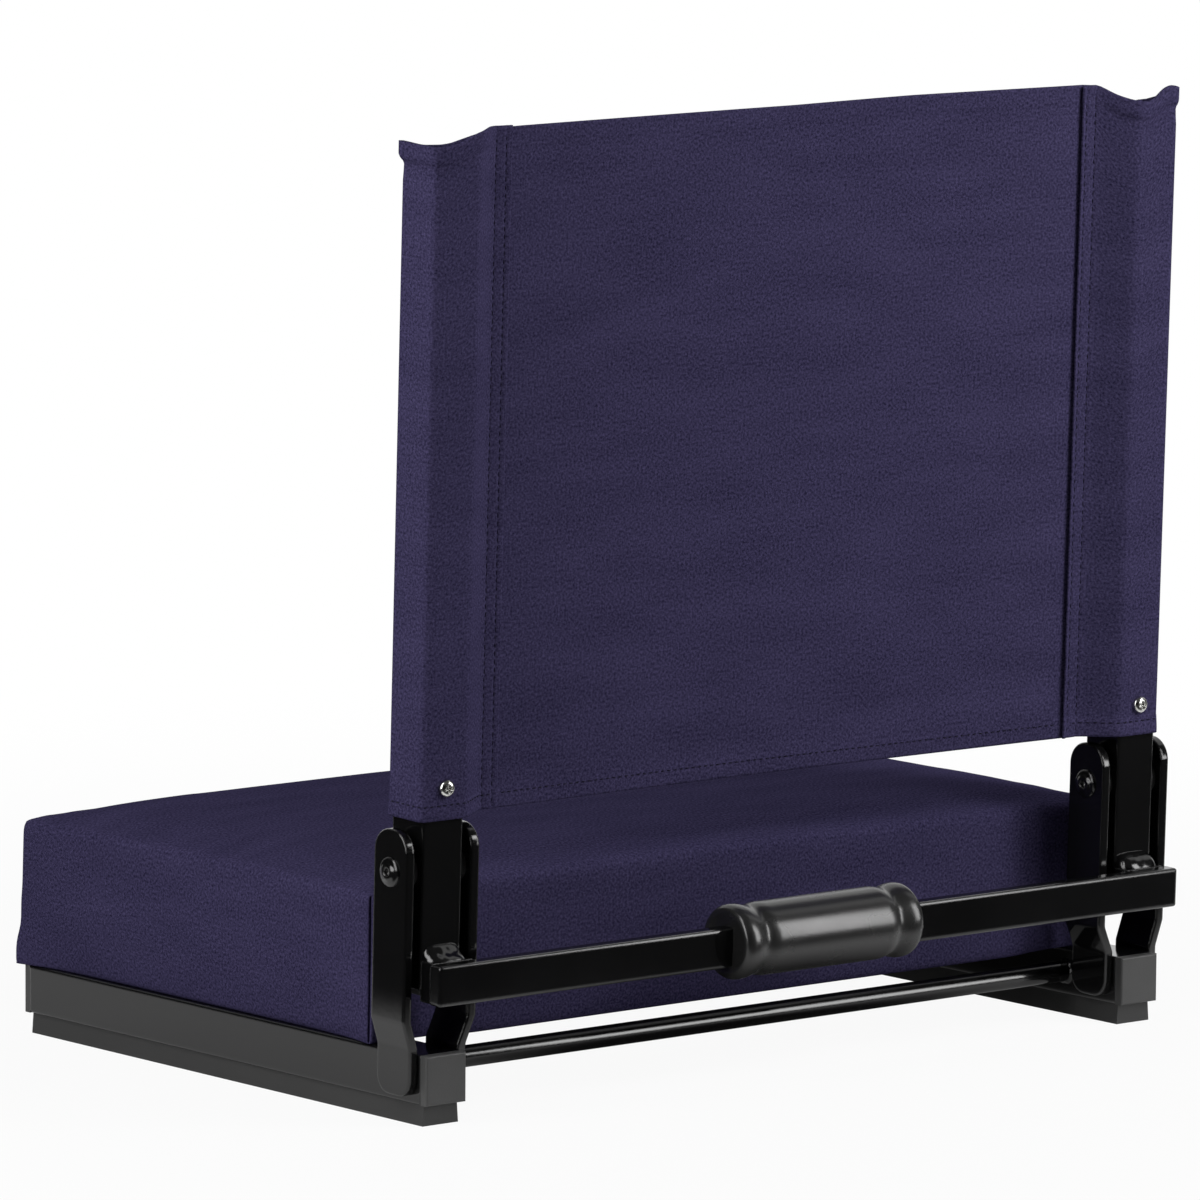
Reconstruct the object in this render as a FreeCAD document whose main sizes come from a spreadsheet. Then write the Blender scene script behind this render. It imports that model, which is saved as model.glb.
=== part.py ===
# Folding stadium seat: a welded frame of square tube, a padded seat and a cloth back that folds forward.
# Frame: +Z up, floor at Z = 0, the sitter faces -Y, +X is the sitter's left.
# The origin is on the floor, under the middle of the whole seat.
import FreeCAD, Part
import Sketcher
import math
import os

# Steps in which the rounded forms of the cushion are drawn
TUCK_SHARES = (0, 0.25, 0.5, 1)
SHOULDER_ANGLES = (0, 30, 60, 90)
CROWN_STEPS = 6

SIZES = (
    # Side rails, their end caps and foot strips
    ("frame_width", 432.0, "outside width over the two side rails"),
    ("tube_side", 22.2, "side of the square tube of rails and posts"),
    ("tube_wall", 1.5, "wall of the square tube"),
    ("tube_corner", 1.2, "outer corner radius of the square tube"),
    ("rail_length", 286.6, "length of a rail without its caps"),
    ("cap_flange", 4.2, "thickness of a rail cap outside the tube"),
    ("cap_plug", 14.0, "depth of a cap inside its tube"),
    ("cap_wall", 2.0, "wall of the hollow plug of a cap"),
    ("cap_edge", 0.9, "edge radius of a cap"),
    ("cap_play", 0.1, "gap between a cap's plug and the tube"),
    ("foot_height", 9.4, "height of a rubber foot strip"),
    ("foot_width", 19.8, "width of a foot strip on the floor"),
    ("foot_taper", 0.7, "how much a foot strip narrows on each side towards its rail"),
    ("rod_diameter", 9.8, "diameter of the two cross rods"),
    ("rear_rod_setback", 38.5, "from the rear face of the caps to the rear cross rod"),
    ("front_rod_setback", 60.0, "from the front face of the caps to the front cross rod"),
    # Hinge plates and pivot
    ("pivot_height", 112.2, "pivot axis above the floor"),
    ("pivot_setback", 15.4, "pivot axis in front of the rear face of the caps"),
    ("recline_angle", 1.6, "lean of the back and the hinge plates, in degrees"),
    ("plate_thick", 4.7, "thickness of a hinge plate"),
    ("plate_width", 23.0, "width of a hinge plate"),
    ("plate_crest", 18.9, "from the pivot axis to the top of a hinge plate"),
    ("plate_flat", 2.0, "narrow flat at the very top of a hinge plate"),
    ("plate_foot", 19.0, "overlap of a hinge plate down the side of its rail"),
    ("plate_foot_round", 8.0, "corner radius at the foot of a hinge plate"),
    ("plate_edge", 0.8, "edge radius of a hinge plate"),
    ("outer_joggle", 4.0, "sideways step of an outer hinge plate above its rail"),
    ("inner_joggle", 5.2, "sideways step of an inner hinge plate above its rail"),
    ("joggle_start", 2.6, "height above the rail at which the step begins"),
    ("joggle_rise", 12.0, "height of the step"),
    ("joggle_round", 5.0, "bend radius of the step"),
    ("rivet_diameter", 8.0, "shank of a pivot rivet"),
    ("rivet_head", 13.4, "diameter of a rivet's head"),
    ("rivet_crown", 9.4, "diameter of the flat top of a rivet's head"),
    ("rivet_rise", 2.4, "height of a rivet's head"),
    ("rivet_rim", 0.7, "straight rim at the foot of a rivet's head"),
    ("rivet_dimple", 2.6, "diameter of the dimple in a rivet's head"),
    ("dimple_depth", 1.3, "depth of the dimple"),
    ("pivot_play", 0.05, "radial play of the rivet in its holes and its bush"),
    ("bush_wall", 1.6, "wall of the bush in a post"),
    ("washer_diameter", 16.0, "diameter of the washers beside a post"),
    ("washer_play", 0.15, "gap between a washer and its post"),
    # Posts, crossbar and grip
    ("post_rise", 308.0, "from the pivot axis to the top of a post's tube"),
    ("post_drop", 52.0, "from the pivot axis to the bottom of a post's tube"),
    ("plug_flange", 2.2, "thickness of a post's end plug outside the tube"),
    ("bar_lift", 4.4, "from the bottom of a post's tube up to the middle of the crossbar"),
    ("bar_depth", 8.0, "depth of the crossbar, front to rear"),
    ("bar_height", 18.0, "height of the crossbar"),
    ("bar_overhang", 2.2, "how far the crossbar stands out beyond each post"),
    ("bar_edge", 1.3, "edge radius of the crossbar"),
    ("spacer_depth", 8.6, "depth of the block between a post and the crossbar"),
    ("spacer_length", 22.0, "length of that block along the crossbar"),
    ("weld_leg", 6.4, "height of the weld bead above a spacer block"),
    ("weld_depth", 8.2, "depth of the weld bead on a spacer block"),
    ("weld_inset", 0.4, "how far a weld bead stops short of the block's ends"),
    ("grip_length", 104.5, "length of the moulded grip"),
    ("grip_lift", 1.9, "how far the grip's axis lies above the middle of the crossbar"),
    ("grip_radius", 16.6, "radius of the grip's body"),
    ("grip_collar_radius", 17.0, "radius of the grip's end collars"),
    ("grip_collar_width", 14.0, "width of an end collar"),
    ("grip_neck_radius", 15.5, "radius of the neck beside a collar"),
    ("grip_neck_width", 3.0, "width of each flank of the neck"),
    ("grip_recess_radius", 12.2, "radius of the recess in the grip's ends"),
    ("grip_recess_depth", 1.2, "depth of the recess in the grip's ends"),
    ("grip_round", 3.4, "edge radius of a collar"),
    ("grip_play", 0.1, "gap between the grip and the crossbar"),
    # Back cloth and its screws
    ("cloth_thick", 1.2, "thickness of the back cloth"),
    ("sleeve_play", 0.4, "gap between a sleeve and its post"),
    ("seam_gap", 18.2, "from a post's inner face to the seam that closes its sleeve"),
    ("flap_width", 6.0, "width of the flap beyond the seam"),
    ("cloth_clear", 3.9, "gap between the top of a hinge plate and the cloth above it"),
    ("cloth_over", 16.2, "how far the cloth stands above the posts' tubes"),
    ("dip_depth", 9.0, "depth of the dip in the top of a sleeve"),
    ("dip_radius", 29.0, "radius of the dip in the top of a sleeve"),
    ("dip_inset", 17.0, "from the outer face of a post to the middle of the dip"),
    ("screw_diameter", 4.0, "shank of a screw"),
    ("screw_head", 8.6, "diameter of a screw's head"),
    ("screw_rise", 2.6, "height of a screw's head"),
    ("screw_rim", 1.3, "straight rim of a screw's head"),
    ("screw_crown", 4.3, "diameter of the flat top of a screw's head"),
    ("screw_play", 0.05, "radial gap round a screw's shank"),
    ("sleeve_screw_rise", 14.1, "from the lower edge of the cloth to a sleeve screw"),
    ("sleeve_screw_length", 9.0, "shank of a sleeve screw"),
    # Seat cushion
    ("cushion_overhang", 2.0, "how far the cushion stands out beyond each rail"),
    ("cushion_front", 2.2, "how far the cushion reaches in front of the caps"),
    ("cushion_rear", 37.2, "from the rear face of the caps to the cushion"),
    ("cushion_side", 67.0, "height of the cushion's sides above the rails"),
    ("cushion_crown", 9.0, "rise of the cushion's top above its sides"),
    ("cushion_belly", 9.0, "height above the rails at which the cushion is widest"),
    ("cushion_tuck", 2.4, "how far the sides turn in at the bottom"),
    ("cushion_draw", 3.0, "how far the sides lean in at the top"),
    ("cushion_bow", 1.2, "how far the sides pull in between the corners"),
    ("cushion_shoulder", 6.0, "rounding of the cushion's upper edge"),
    ("cushion_corner", 6.0, "corner radius of the cushion and its board seen from above"),
    ("cushion_crest", 10.0, "straight length at each end of the crown's flat crest"),
    ("cover_thick", 1.4, "thickness of the cushion's cover"),
    ("foam_play", 0.3, "gap between the foam and the cover"),
    ("hem_width", 32.0, "width of the cover's hem under the board"),
    ("hem_gap", 1.0, "gap between the hem and the dust cover"),
    ("board_thick", 10.0, "thickness of the seat board"),
    ("board_margin", 6.0, "from the cushion's widest outline to the board's edge"),
    ("seat_screw_count", 3, "screws in each rail"),
    ("seat_screw_margin", 70.0, "from a rail's end to its first and last screw"),
    ("seat_screw_bite", 7.0, "depth of a seat screw in the board"),
    ("access_hole", 10.5, "diameter of the holes under the seat screws"),
)

# Places that follow from the sizes, each an expression of them
PLACES = (
    ("rail_x", "size.frame_width / 2 - size.tube_side / 2"),
    ("rail_inner_x", "size.frame_width / 2 - size.tube_side"),
    ("rail_mid", "size.foot_height + size.tube_side / 2"),
    ("plate_gap", "(size.outer_joggle + size.inner_joggle) / 2"),
    ("post_x", "at.rail_x + (size.outer_joggle - size.inner_joggle) / 2"),
    ("post_in", "at.post_x - size.tube_side / 2"),
    ("post_out", "at.post_x + size.tube_side / 2"),
    ("rail_top", "size.foot_height + size.tube_side"),
    ("bar_drop", "size.post_drop - size.bar_lift"),
    ("bar_length", "2 * (at.post_out + size.bar_overhang)"),
    ("bar_out", "size.tube_side / 2 + size.spacer_depth + size.bar_depth / 2"),
    ("lean_sine", "sin(size.recline_angle * 1 deg)"),
    ("lean_cosine", "cos(size.recline_angle * 1 deg)"),
    ("bar_reach", "at.bar_out * at.lean_cosine - at.bar_drop * at.lean_sine"),
    ("frame_depth", "size.rail_length + 2 * size.cap_flange"),
    ("whole_depth", "at.frame_depth + size.cushion_front - size.pivot_setback + at.bar_reach"
                    " + size.grip_collar_radius"),
    ("front_y", "size.cushion_front - at.whole_depth / 2"),
    ("rear_y", "at.front_y + at.frame_depth"),
    ("tube_rear_y", "at.rear_y - size.cap_flange"),
    ("pivot_y", "at.rear_y - size.pivot_setback"),
    ("pivot_z", "size.pivot_height"),
    ("bar_y", "at.pivot_y + at.bar_reach"),
    ("bar_z", "at.pivot_z - at.bar_drop * at.lean_cosine - at.bar_out * at.lean_sine"),
    ("plate_grip", "size.tube_side / 2 + at.plate_gap + size.plate_thick"),
    ("plate_round", "(size.plate_width - size.plate_flat) / 2"),
    ("hole_radius", "size.rivet_diameter / 2 + size.pivot_play"),
    ("bush_radius", "at.hole_radius + size.bush_wall"),
    ("screw_hole", "size.screw_diameter / 2 + size.screw_play"),
    ("sleeve_in", "size.tube_side / 2 + size.sleeve_play"),
    ("sleeve_out", "at.sleeve_in + size.cloth_thick"),
    ("seam_offset", "at.post_in - size.seam_gap"),
    ("cloth_bottom", "size.plate_crest + size.cloth_clear"),
    ("cloth_top", "size.post_rise + size.cloth_over"),
    ("sleeve_screw_height", "at.cloth_bottom + size.sleeve_screw_rise"),
    ("cushion_width", "size.frame_width + 2 * size.cushion_overhang"),
    ("cushion_front_y", "at.front_y - size.cushion_front"),
    ("cushion_rear_y", "at.rear_y - size.cushion_rear"),
    ("cushion_depth", "at.cushion_rear_y - at.cushion_front_y"),
    ("board_bottom", "at.rail_top + size.cover_thick"),
    ("board_front_y", "at.cushion_front_y + size.board_margin"),
    ("board_half", "at.cushion_width / 2 - size.board_margin"),
    ("board_depth", "at.cushion_depth - 2 * size.board_margin"),
    ("screw_step", "(size.rail_length - 2 * size.seat_screw_margin) / (size.seat_screw_count - 1)"),
)

doc = FreeCAD.newDocument("stadium_seat")
size = doc.addObject("Spreadsheet::Sheet", "size")
for row, (alias, number, note) in enumerate(SIZES, start=1):
    size.set(f"A{row}", note)
    size.set(f"B{row}", str(number))
    size.setAlias(f"B{row}", alias)
doc.recompute()

at = doc.addObject("App::VarSet", "at")
for name, expression in PLACES:
    at.addProperty("App::PropertyFloat", name)
    at.setExpression(name, expression)
    doc.recompute()

pieces = {}


def value(expression):
    """Work out an expression of sizes and places as a plain number."""
    return float(size.evalExpression(expression))


def bind(item, bindings):
    """Bind properties of an object to expressions."""
    for name, expression in bindings.items():
        item.setExpression(name, expression)


def put(item, x, y, z, axis=None, angle=None):
    """Place an object at three expressions, turned by an angle about an axis if one is given."""
    bind(item, {".Placement.Base.x": x, ".Placement.Base.y": y, ".Placement.Base.z": z})
    if axis:
        item.Placement.Rotation = FreeCAD.Rotation(FreeCAD.Vector(*axis), 1)
        item.setExpression(".Placement.Rotation.Angle", angle)


def lean(item, x="0"):
    """Place an object that is modelled about the pivot axis, leaning back with the posts."""
    put(item, x, "at.pivot_y", "at.pivot_z", (-1, 0, 0), "size.recline_angle")


def keep(label, item):
    """Name a finished sub-part."""
    item.Label = label
    pieces[label] = item
    return item


def mirrored(item, x="0"):
    """Mirror an object in the plane across X at an expression."""
    copy = doc.addObject("Part::Mirroring", item.Name + "_mirror")
    copy.Source = item
    copy.Normal = (1, 0, 0)
    copy.setExpression("Base.x", x)
    return copy


def both_sides(name, item):
    """Keep an object as the left sub-part and its mirror image as the right one."""
    keep("left_" + name, item)
    keep("right_" + name, mirrored(item))


def new_body(name):
    """Start a body."""
    return doc.addObject("PartDesign::Body", name)


def new_sketch(body, plane):
    """Start a sketch on one of a body's own origin planes."""
    sketch = body.newObject("Sketcher::SketchObject", body.Name + "_sketch")
    support = next(item for item in body.Origin.OriginFeatures if item.Role == plane)
    sketch.AttachmentSupport = (support, [""])
    sketch.MapMode = "FlatFace"
    return sketch


def hold(sketch, kind, point, expression):
    """Hold a point of the sketch at a distance from its origin."""
    geometry, corner = point
    number = sketch.addConstraint(
        Sketcher.Constraint(kind, -1, 1, geometry, corner, value(expression)))
    sketch.setExpression(f"Constraints[{number}]", expression)


def polygon(sketch, corners):
    """Draw a closed polygon through corners, each a pair of expressions."""
    points = [FreeCAD.Vector(value(x), value(y), 0) for x, y in corners]
    first = sketch.GeometryCount
    count = len(points)
    for index, point in enumerate(points):
        sketch.addGeometry(Part.LineSegment(point, points[(index + 1) % count]), False)
    for index in range(count):
        following = first + (index + 1) % count
        sketch.addConstraint(Sketcher.Constraint("Coincident", first + index, 2, following, 1))
    for index, (x, y) in enumerate(corners):
        hold(sketch, "DistanceX", (first + index, 1), x)
        hold(sketch, "DistanceY", (first + index, 1), y)


def rectangle(sketch, left, right, bottom, top):
    """Draw a rectangle between four expressions."""
    polygon(sketch, [(left, bottom), (right, bottom), (right, top), (left, top)])


def square(sketch, half):
    """Draw a square of a given half side about the sketch's origin."""
    rectangle(sketch, f"-({half})", half, f"-({half})", half)


def circle(sketch, x, y, radius):
    """Draw a circle at two expressions."""
    centre = FreeCAD.Vector(value(x), value(y), 0)
    number = sketch.addGeometry(Part.Circle(centre, FreeCAD.Vector(0, 0, 1), value(radius)), False)
    hold(sketch, "DistanceX", (number, 3), x)
    hold(sketch, "DistanceY", (number, 3), y)
    rule = sketch.addConstraint(Sketcher.Constraint("Radius", number, value(radius)))
    sketch.setExpression(f"Constraints[{rule}]", radius)


def pad(body, sketch, length, sides="One side", second=None):
    """Extrude a sketch along its normal, to both sides of it where that is asked for."""
    feature = body.newObject("PartDesign::Pad", body.Name + "_pad")
    feature.Profile = sketch
    feature.SideType = sides
    feature.setExpression("Length", length)
    if second:
        feature.setExpression("Length2", second)
    doc.recompute()
    return feature


def pocket(body, sketch, sides="Symmetric", upward=False, depth=None):
    """Cut a sketch out of a body, right through unless a depth is given."""
    before = body.Shape.Volume
    feature = body.newObject("PartDesign::Pocket", body.Name + "_pocket")
    feature.Profile = sketch
    feature.SideType = sides
    feature.Reversed = upward
    if depth:
        feature.setExpression("Length", depth)
    else:
        feature.Type = "ThroughAll"
    doc.recompute()
    if body.Shape.Volume >= before:
        raise RuntimeError(f"{body.Name}: a pocket cut nothing")
    return feature


def revolve(body, sketch, axis):
    """Turn a sketch a full circle about one of its own axes."""
    feature = body.newObject("PartDesign::Revolution", body.Name + "_turn")
    feature.Profile = sketch
    feature.ReferenceAxis = (sketch, [axis])
    feature.Angle = 360
    doc.recompute()
    return feature


def fillet(body, radius, wanted):
    """Round the edges that a test picks out."""
    base = body.Tip
    names = [f"Edge{number}" for number, edge in enumerate(base.Shape.Edges, start=1) if wanted(edge)]
    feature = body.newObject("PartDesign::Fillet", body.Name + "_round")
    feature.Base = (base, names)
    feature.setExpression("Radius", radius)
    doc.recompute()
    return feature


def runs_along(edge, direction):
    """Say whether an edge is straight and parallel to a direction."""
    if not isinstance(edge.Curve, Part.Line):
        return False
    return abs(abs(edge.Curve.Direction.dot(FreeCAD.Vector(*direction))) - 1) < 1e-6


def near(first, second):
    """Say whether two numbers agree to a thousandth of a millimetre."""
    return abs(first - second) < 1e-3


def outer_corner(direction):
    """Make the test for the four outer corner edges of a square tube along a direction."""
    half = value("size.tube_side / 2")

    def wanted(edge):
        middle = edge.CenterOfMass
        across = [abs(c) for c, d in zip(middle, direction) if not d]
        return runs_along(edge, direction) and all(near(c, half) for c in across)

    return wanted


def tube_ring(sketch):
    """Draw the wall of the square tube."""
    square(sketch, "size.tube_side / 2")
    square(sketch, "size.tube_side / 2 - size.tube_wall")


def screw_places():
    """List how far each seat screw stands in front of its rail's rear end."""
    count = round(value("size.seat_screw_count"))
    return [f"(size.seat_screw_margin + {index} * at.screw_step)" for index in range(count)]


# Side rails: square tube with screw holes in the upper wall and access holes in the lower one
def make_rail():
    body = new_body("rail")
    sketch = new_sketch(body, "XZ_Plane")
    tube_ring(sketch)
    pad(body, sketch, "size.rail_length")
    fillet(body, "size.tube_corner", outer_corner((0, 1, 0)))
    for radius, upward in (("at.screw_hole", True), ("size.access_hole / 2", False)):
        holes = new_sketch(body, "XY_Plane")
        for place in screw_places():
            circle(holes, "0", f"-{place}", radius)
        pocket(body, holes, "One side", upward)
    put(body, "at.rail_x", "at.tube_rear_y", "at.rail_mid")
    both_sides("rail", body)


# A moulded cap: a square flange outside the tube and a hollow plug inside it
def make_cap(name, flange):
    body = new_body(name)
    face = new_sketch(body, "XZ_Plane")
    square(face, "size.tube_side / 2")
    pad(body, face, flange)
    fillet(body, "size.cap_edge", lambda edge: near(edge.CenterOfMass.y, 0))
    plug = new_sketch(body, "XZ_Plane")
    outside = "size.tube_side / 2 - size.tube_wall - size.cap_play"
    square(plug, outside)
    square(plug, f"{outside} - size.cap_wall")
    pad(body, plug, f"{flange} + size.cap_plug")
    return body


def make_caps():
    rear = make_cap("rail_rear_cap", "size.cap_flange")
    put(rear, "at.rail_x", "at.rear_y", "at.rail_mid")
    both_sides("rail_rear_cap", rear)
    front = make_cap("rail_front_cap", "size.cap_flange")
    put(front, "at.rail_x", "at.front_y", "at.rail_mid", (0, 0, 1), "180")
    both_sides("rail_front_cap", front)


# Foot strips: rubber, a little narrower where they meet the rail
def make_foot_strip():
    body = new_body("foot_strip")
    sketch = new_sketch(body, "XZ_Plane")
    wide = "size.foot_width / 2"
    narrow = "(size.foot_width / 2 - size.foot_taper)"
    polygon(sketch, [(f"-{wide}", "0"), (wide, "0"),
                     (narrow, "size.foot_height"), (f"-{narrow}", "size.foot_height")])
    pad(body, sketch, "size.rail_length")
    put(body, "at.rail_x", "at.tube_rear_y", "0")
    both_sides("foot_strip", body)


# Cross rods between the inner faces of the rails
def make_rod(label, y):
    rod = doc.addObject("Part::Cylinder", label)
    bind(rod, {"Radius": "size.rod_diameter / 2", "Height": "2 * at.rail_inner_x"})
    put(rod, "-at.rail_inner_x", y, "at.rail_mid", (0, 1, 0), "90")
    keep(label, rod)


# A hinge plate: welded to the side of a rail, stepped sideways above it, round at the top
def make_plate(name, step):
    body = new_body(name)
    sketch = new_sketch(body, "XZ_Plane")
    foot = "(at.rail_top - size.plate_foot - size.pivot_height)"
    first_bend = "(at.rail_top + size.joggle_start - size.pivot_height)"
    second_bend = f"({first_bend} + size.joggle_rise)"
    thick = "size.plate_thick"
    crest = "size.plate_crest"
    polygon(sketch, [("0", foot), (thick, foot), (thick, first_bend), (f"{step} + {thick}", second_bend),
                     (f"{step} + {thick}", crest), (step, crest), (step, second_bend), ("0", first_bend)])
    pad(body, sketch, "size.plate_width", "Symmetric")
    bends = (value(first_bend), value(second_bend))
    fillet(body, "size.joggle_round", lambda edge: runs_along(edge, (0, 1, 0))
           and any(near(edge.CenterOfMass.z, bend) for bend in bends))
    fillet(body, "at.plate_round", lambda edge: runs_along(edge, (1, 0, 0))
           and near(edge.CenterOfMass.z, value(crest)))
    fillet(body, "size.plate_foot_round", lambda edge: runs_along(edge, (1, 0, 0))
           and near(edge.CenterOfMass.z, value(foot)))
    faces = (value(step), value(f"{step} + {thick}"))

    def around_face(edge):
        on_face = any(near(edge.BoundBox.XMin, x) and near(edge.BoundBox.XMax, x) for x in faces)
        is_bend = runs_along(edge, (0, 1, 0)) and edge.CenterOfMass.z < 0
        return on_face and not is_bend

    fillet(body, "size.plate_edge", around_face)
    hole = new_sketch(body, "YZ_Plane")
    circle(hole, "0", "0", "at.hole_radius")
    pocket(body, hole)
    lean(body, "size.frame_width / 2")
    return body


# Hinge plates: one on the outer side of each rail, and one on its inner side that steps further out
def make_plates():
    both_sides("outer_hinge_plate", make_plate("outer_hinge_plate", "size.outer_joggle"))
    inner = make_plate("inner_hinge_plate", "size.inner_joggle")
    both_sides("inner_hinge_plate", mirrored(inner, "at.rail_x"))


# Pivot rivets: through both hinge plates, with a dimpled head at each end
def make_rivet():
    body = new_body("pivot_rivet")
    sketch = new_sketch(body, "XZ_Plane")
    end = "(at.plate_grip + size.rivet_rise)"
    outline = [(f"{end} - size.dimple_depth", "0"),
               (f"{end} - size.dimple_depth", "size.rivet_dimple / 2"),
               (end, "size.rivet_dimple / 2"),
               (end, "size.rivet_crown / 2"),
               ("at.plate_grip + size.rivet_rim", "size.rivet_head / 2"),
               ("at.plate_grip", "size.rivet_head / 2"),
               ("at.plate_grip", "size.rivet_diameter / 2")]
    polygon(sketch, outline + [(f"-({x})", y) for x, y in reversed(outline)])
    revolve(body, sketch, "H_Axis")
    lean(body, "at.post_x")
    both_sides("pivot_rivet", body)


# A ring about the pivot axis that starts at a distance from the middle of the post
def make_ring(name, inner, outer, start, length):
    body = new_body(name)
    sketch = new_sketch(body, "YZ_Plane")
    circle(sketch, "0", "0", inner)
    circle(sketch, "0", "0", outer)
    sketch.setExpression("AttachmentOffset.Base.z", start)
    pad(body, sketch, length)
    lean(body, "at.post_x")
    return body


def make_pivot_rings():
    bush = make_ring("pivot_bush", "at.hole_radius", "at.bush_radius",
                     "-size.tube_side / 2", "size.tube_side")
    both_sides("pivot_bush", bush)
    washer = make_ring("pivot_washer", "at.hole_radius", "size.washer_diameter / 2",
                       "size.tube_side / 2 + size.washer_play", "at.plate_gap - size.washer_play")
    pair = doc.addObject("Part::Compound", "pivot_washers")
    pair.Links = [washer, mirrored(washer, "at.post_x")]
    both_sides("pivot_washers", pair)


# Back posts: square tube with a bore for the bush and a hole for the sleeve screw
def make_post():
    body = new_body("post")
    sketch = new_sketch(body, "XY_Plane")
    tube_ring(sketch)
    pad(body, sketch, "size.post_rise", "Two sides", "size.post_drop")
    fillet(body, "size.tube_corner", outer_corner((0, 0, 1)))
    bore = new_sketch(body, "YZ_Plane")
    circle(bore, "0", "0", "at.bush_radius + size.pivot_play")
    pocket(body, bore)
    hole = new_sketch(body, "XZ_Plane")
    circle(hole, "0", "at.sleeve_screw_height", "at.screw_hole")
    pocket(body, hole, "One side")
    lean(body, "at.post_x")
    both_sides("post", body)


def make_post_plugs():
    for name, length, axis, angle in (
            ("post_top_plug", "(size.post_rise + size.plug_flange)", (1, 0, 0), "90 - size.recline_angle"),
            ("post_bottom_plug", "-(size.post_drop + size.plug_flange)", (-1, 0, 0),
             "90 + size.recline_angle")):
        plug = make_cap(name, "size.plug_flange")
        put(plug, "at.post_x", f"at.pivot_y + {length} * at.lean_sine",
            f"at.pivot_z + {length} * at.lean_cosine", axis, angle)
        both_sides(name, plug)


# Spacer blocks behind the posts, each with a weld bead on top
def make_spacer():
    upper = "(size.bar_height / 2 - at.bar_drop)"
    lower = "(-size.bar_height / 2 - at.bar_drop)"
    near_face = "size.tube_side / 2"
    block = new_body("handle_spacer")
    sketch = new_sketch(block, "YZ_Plane")
    rectangle(sketch, near_face, f"{near_face} + size.spacer_depth", lower, upper)
    pad(block, sketch, "size.spacer_length", "Symmetric")
    lean(block, "at.post_x")
    both_sides("handle_spacer", block)
    bead = new_body("weld_bead")
    sketch = new_sketch(bead, "YZ_Plane")
    polygon(sketch, [(near_face, upper), (f"{near_face} + size.weld_depth", upper),
                     (near_face, f"{upper} + size.weld_leg")])
    pad(bead, sketch, "size.spacer_length - 2 * size.weld_inset", "Symmetric")
    lean(bead, "at.post_x")
    both_sides("weld_bead", bead)


# Crossbar: a flat bar behind both posts
def make_crossbar():
    body = new_body("crossbar")
    sketch = new_sketch(body, "YZ_Plane")
    rectangle(sketch, "-size.bar_depth / 2", "size.bar_depth / 2",
              "-size.bar_height / 2", "size.bar_height / 2")
    pad(body, sketch, "at.bar_length", "Symmetric")
    fillet(body, "size.bar_edge", lambda edge: True)
    put(body, "0", "at.bar_y", "at.bar_z", (-1, 0, 0), "size.recline_angle")
    keep("crossbar", body)


# Handle grip: a moulded sleeve that sits a little high on the crossbar, with a collar and a recess at each end
def make_grip():
    body = new_body("handle_grip")
    sketch = new_sketch(body, "XZ_Plane")
    end = "size.grip_length / 2"
    collar = f"({end} - size.grip_collar_width)"
    outline = [(f"{end} - size.grip_recess_depth", "0"),
               (f"{end} - size.grip_recess_depth", "size.grip_recess_radius"),
               (end, "size.grip_recess_radius"),
               (end, "size.grip_collar_radius"),
               (collar, "size.grip_collar_radius"),
               (f"{collar} - size.grip_neck_width", "size.grip_neck_radius"),
               (f"{collar} - 2 * size.grip_neck_width", "size.grip_radius")]
    polygon(sketch, outline + [(f"-({x})", y) for x, y in reversed(outline)])
    revolve(body, sketch, "H_Axis")
    collar_radius = value("size.grip_collar_radius")
    fillet(body, "size.grip_round", lambda edge: isinstance(edge.Curve, Part.Circle)
           and near(edge.Curve.Radius, collar_radius))
    bore = new_sketch(body, "YZ_Plane")
    rectangle(bore, "-size.bar_depth / 2 - size.grip_play", "size.bar_depth / 2 + size.grip_play",
              "-size.bar_height / 2 - size.grip_play - size.grip_lift",
              "size.bar_height / 2 + size.grip_play - size.grip_lift")
    pocket(body, bore)
    put(body, "0", "at.bar_y + size.grip_lift * at.lean_sine", "at.bar_z + size.grip_lift * at.lean_cosine",
        (-1, 0, 0), "size.recline_angle")
    keep("handle_grip", body)


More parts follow.
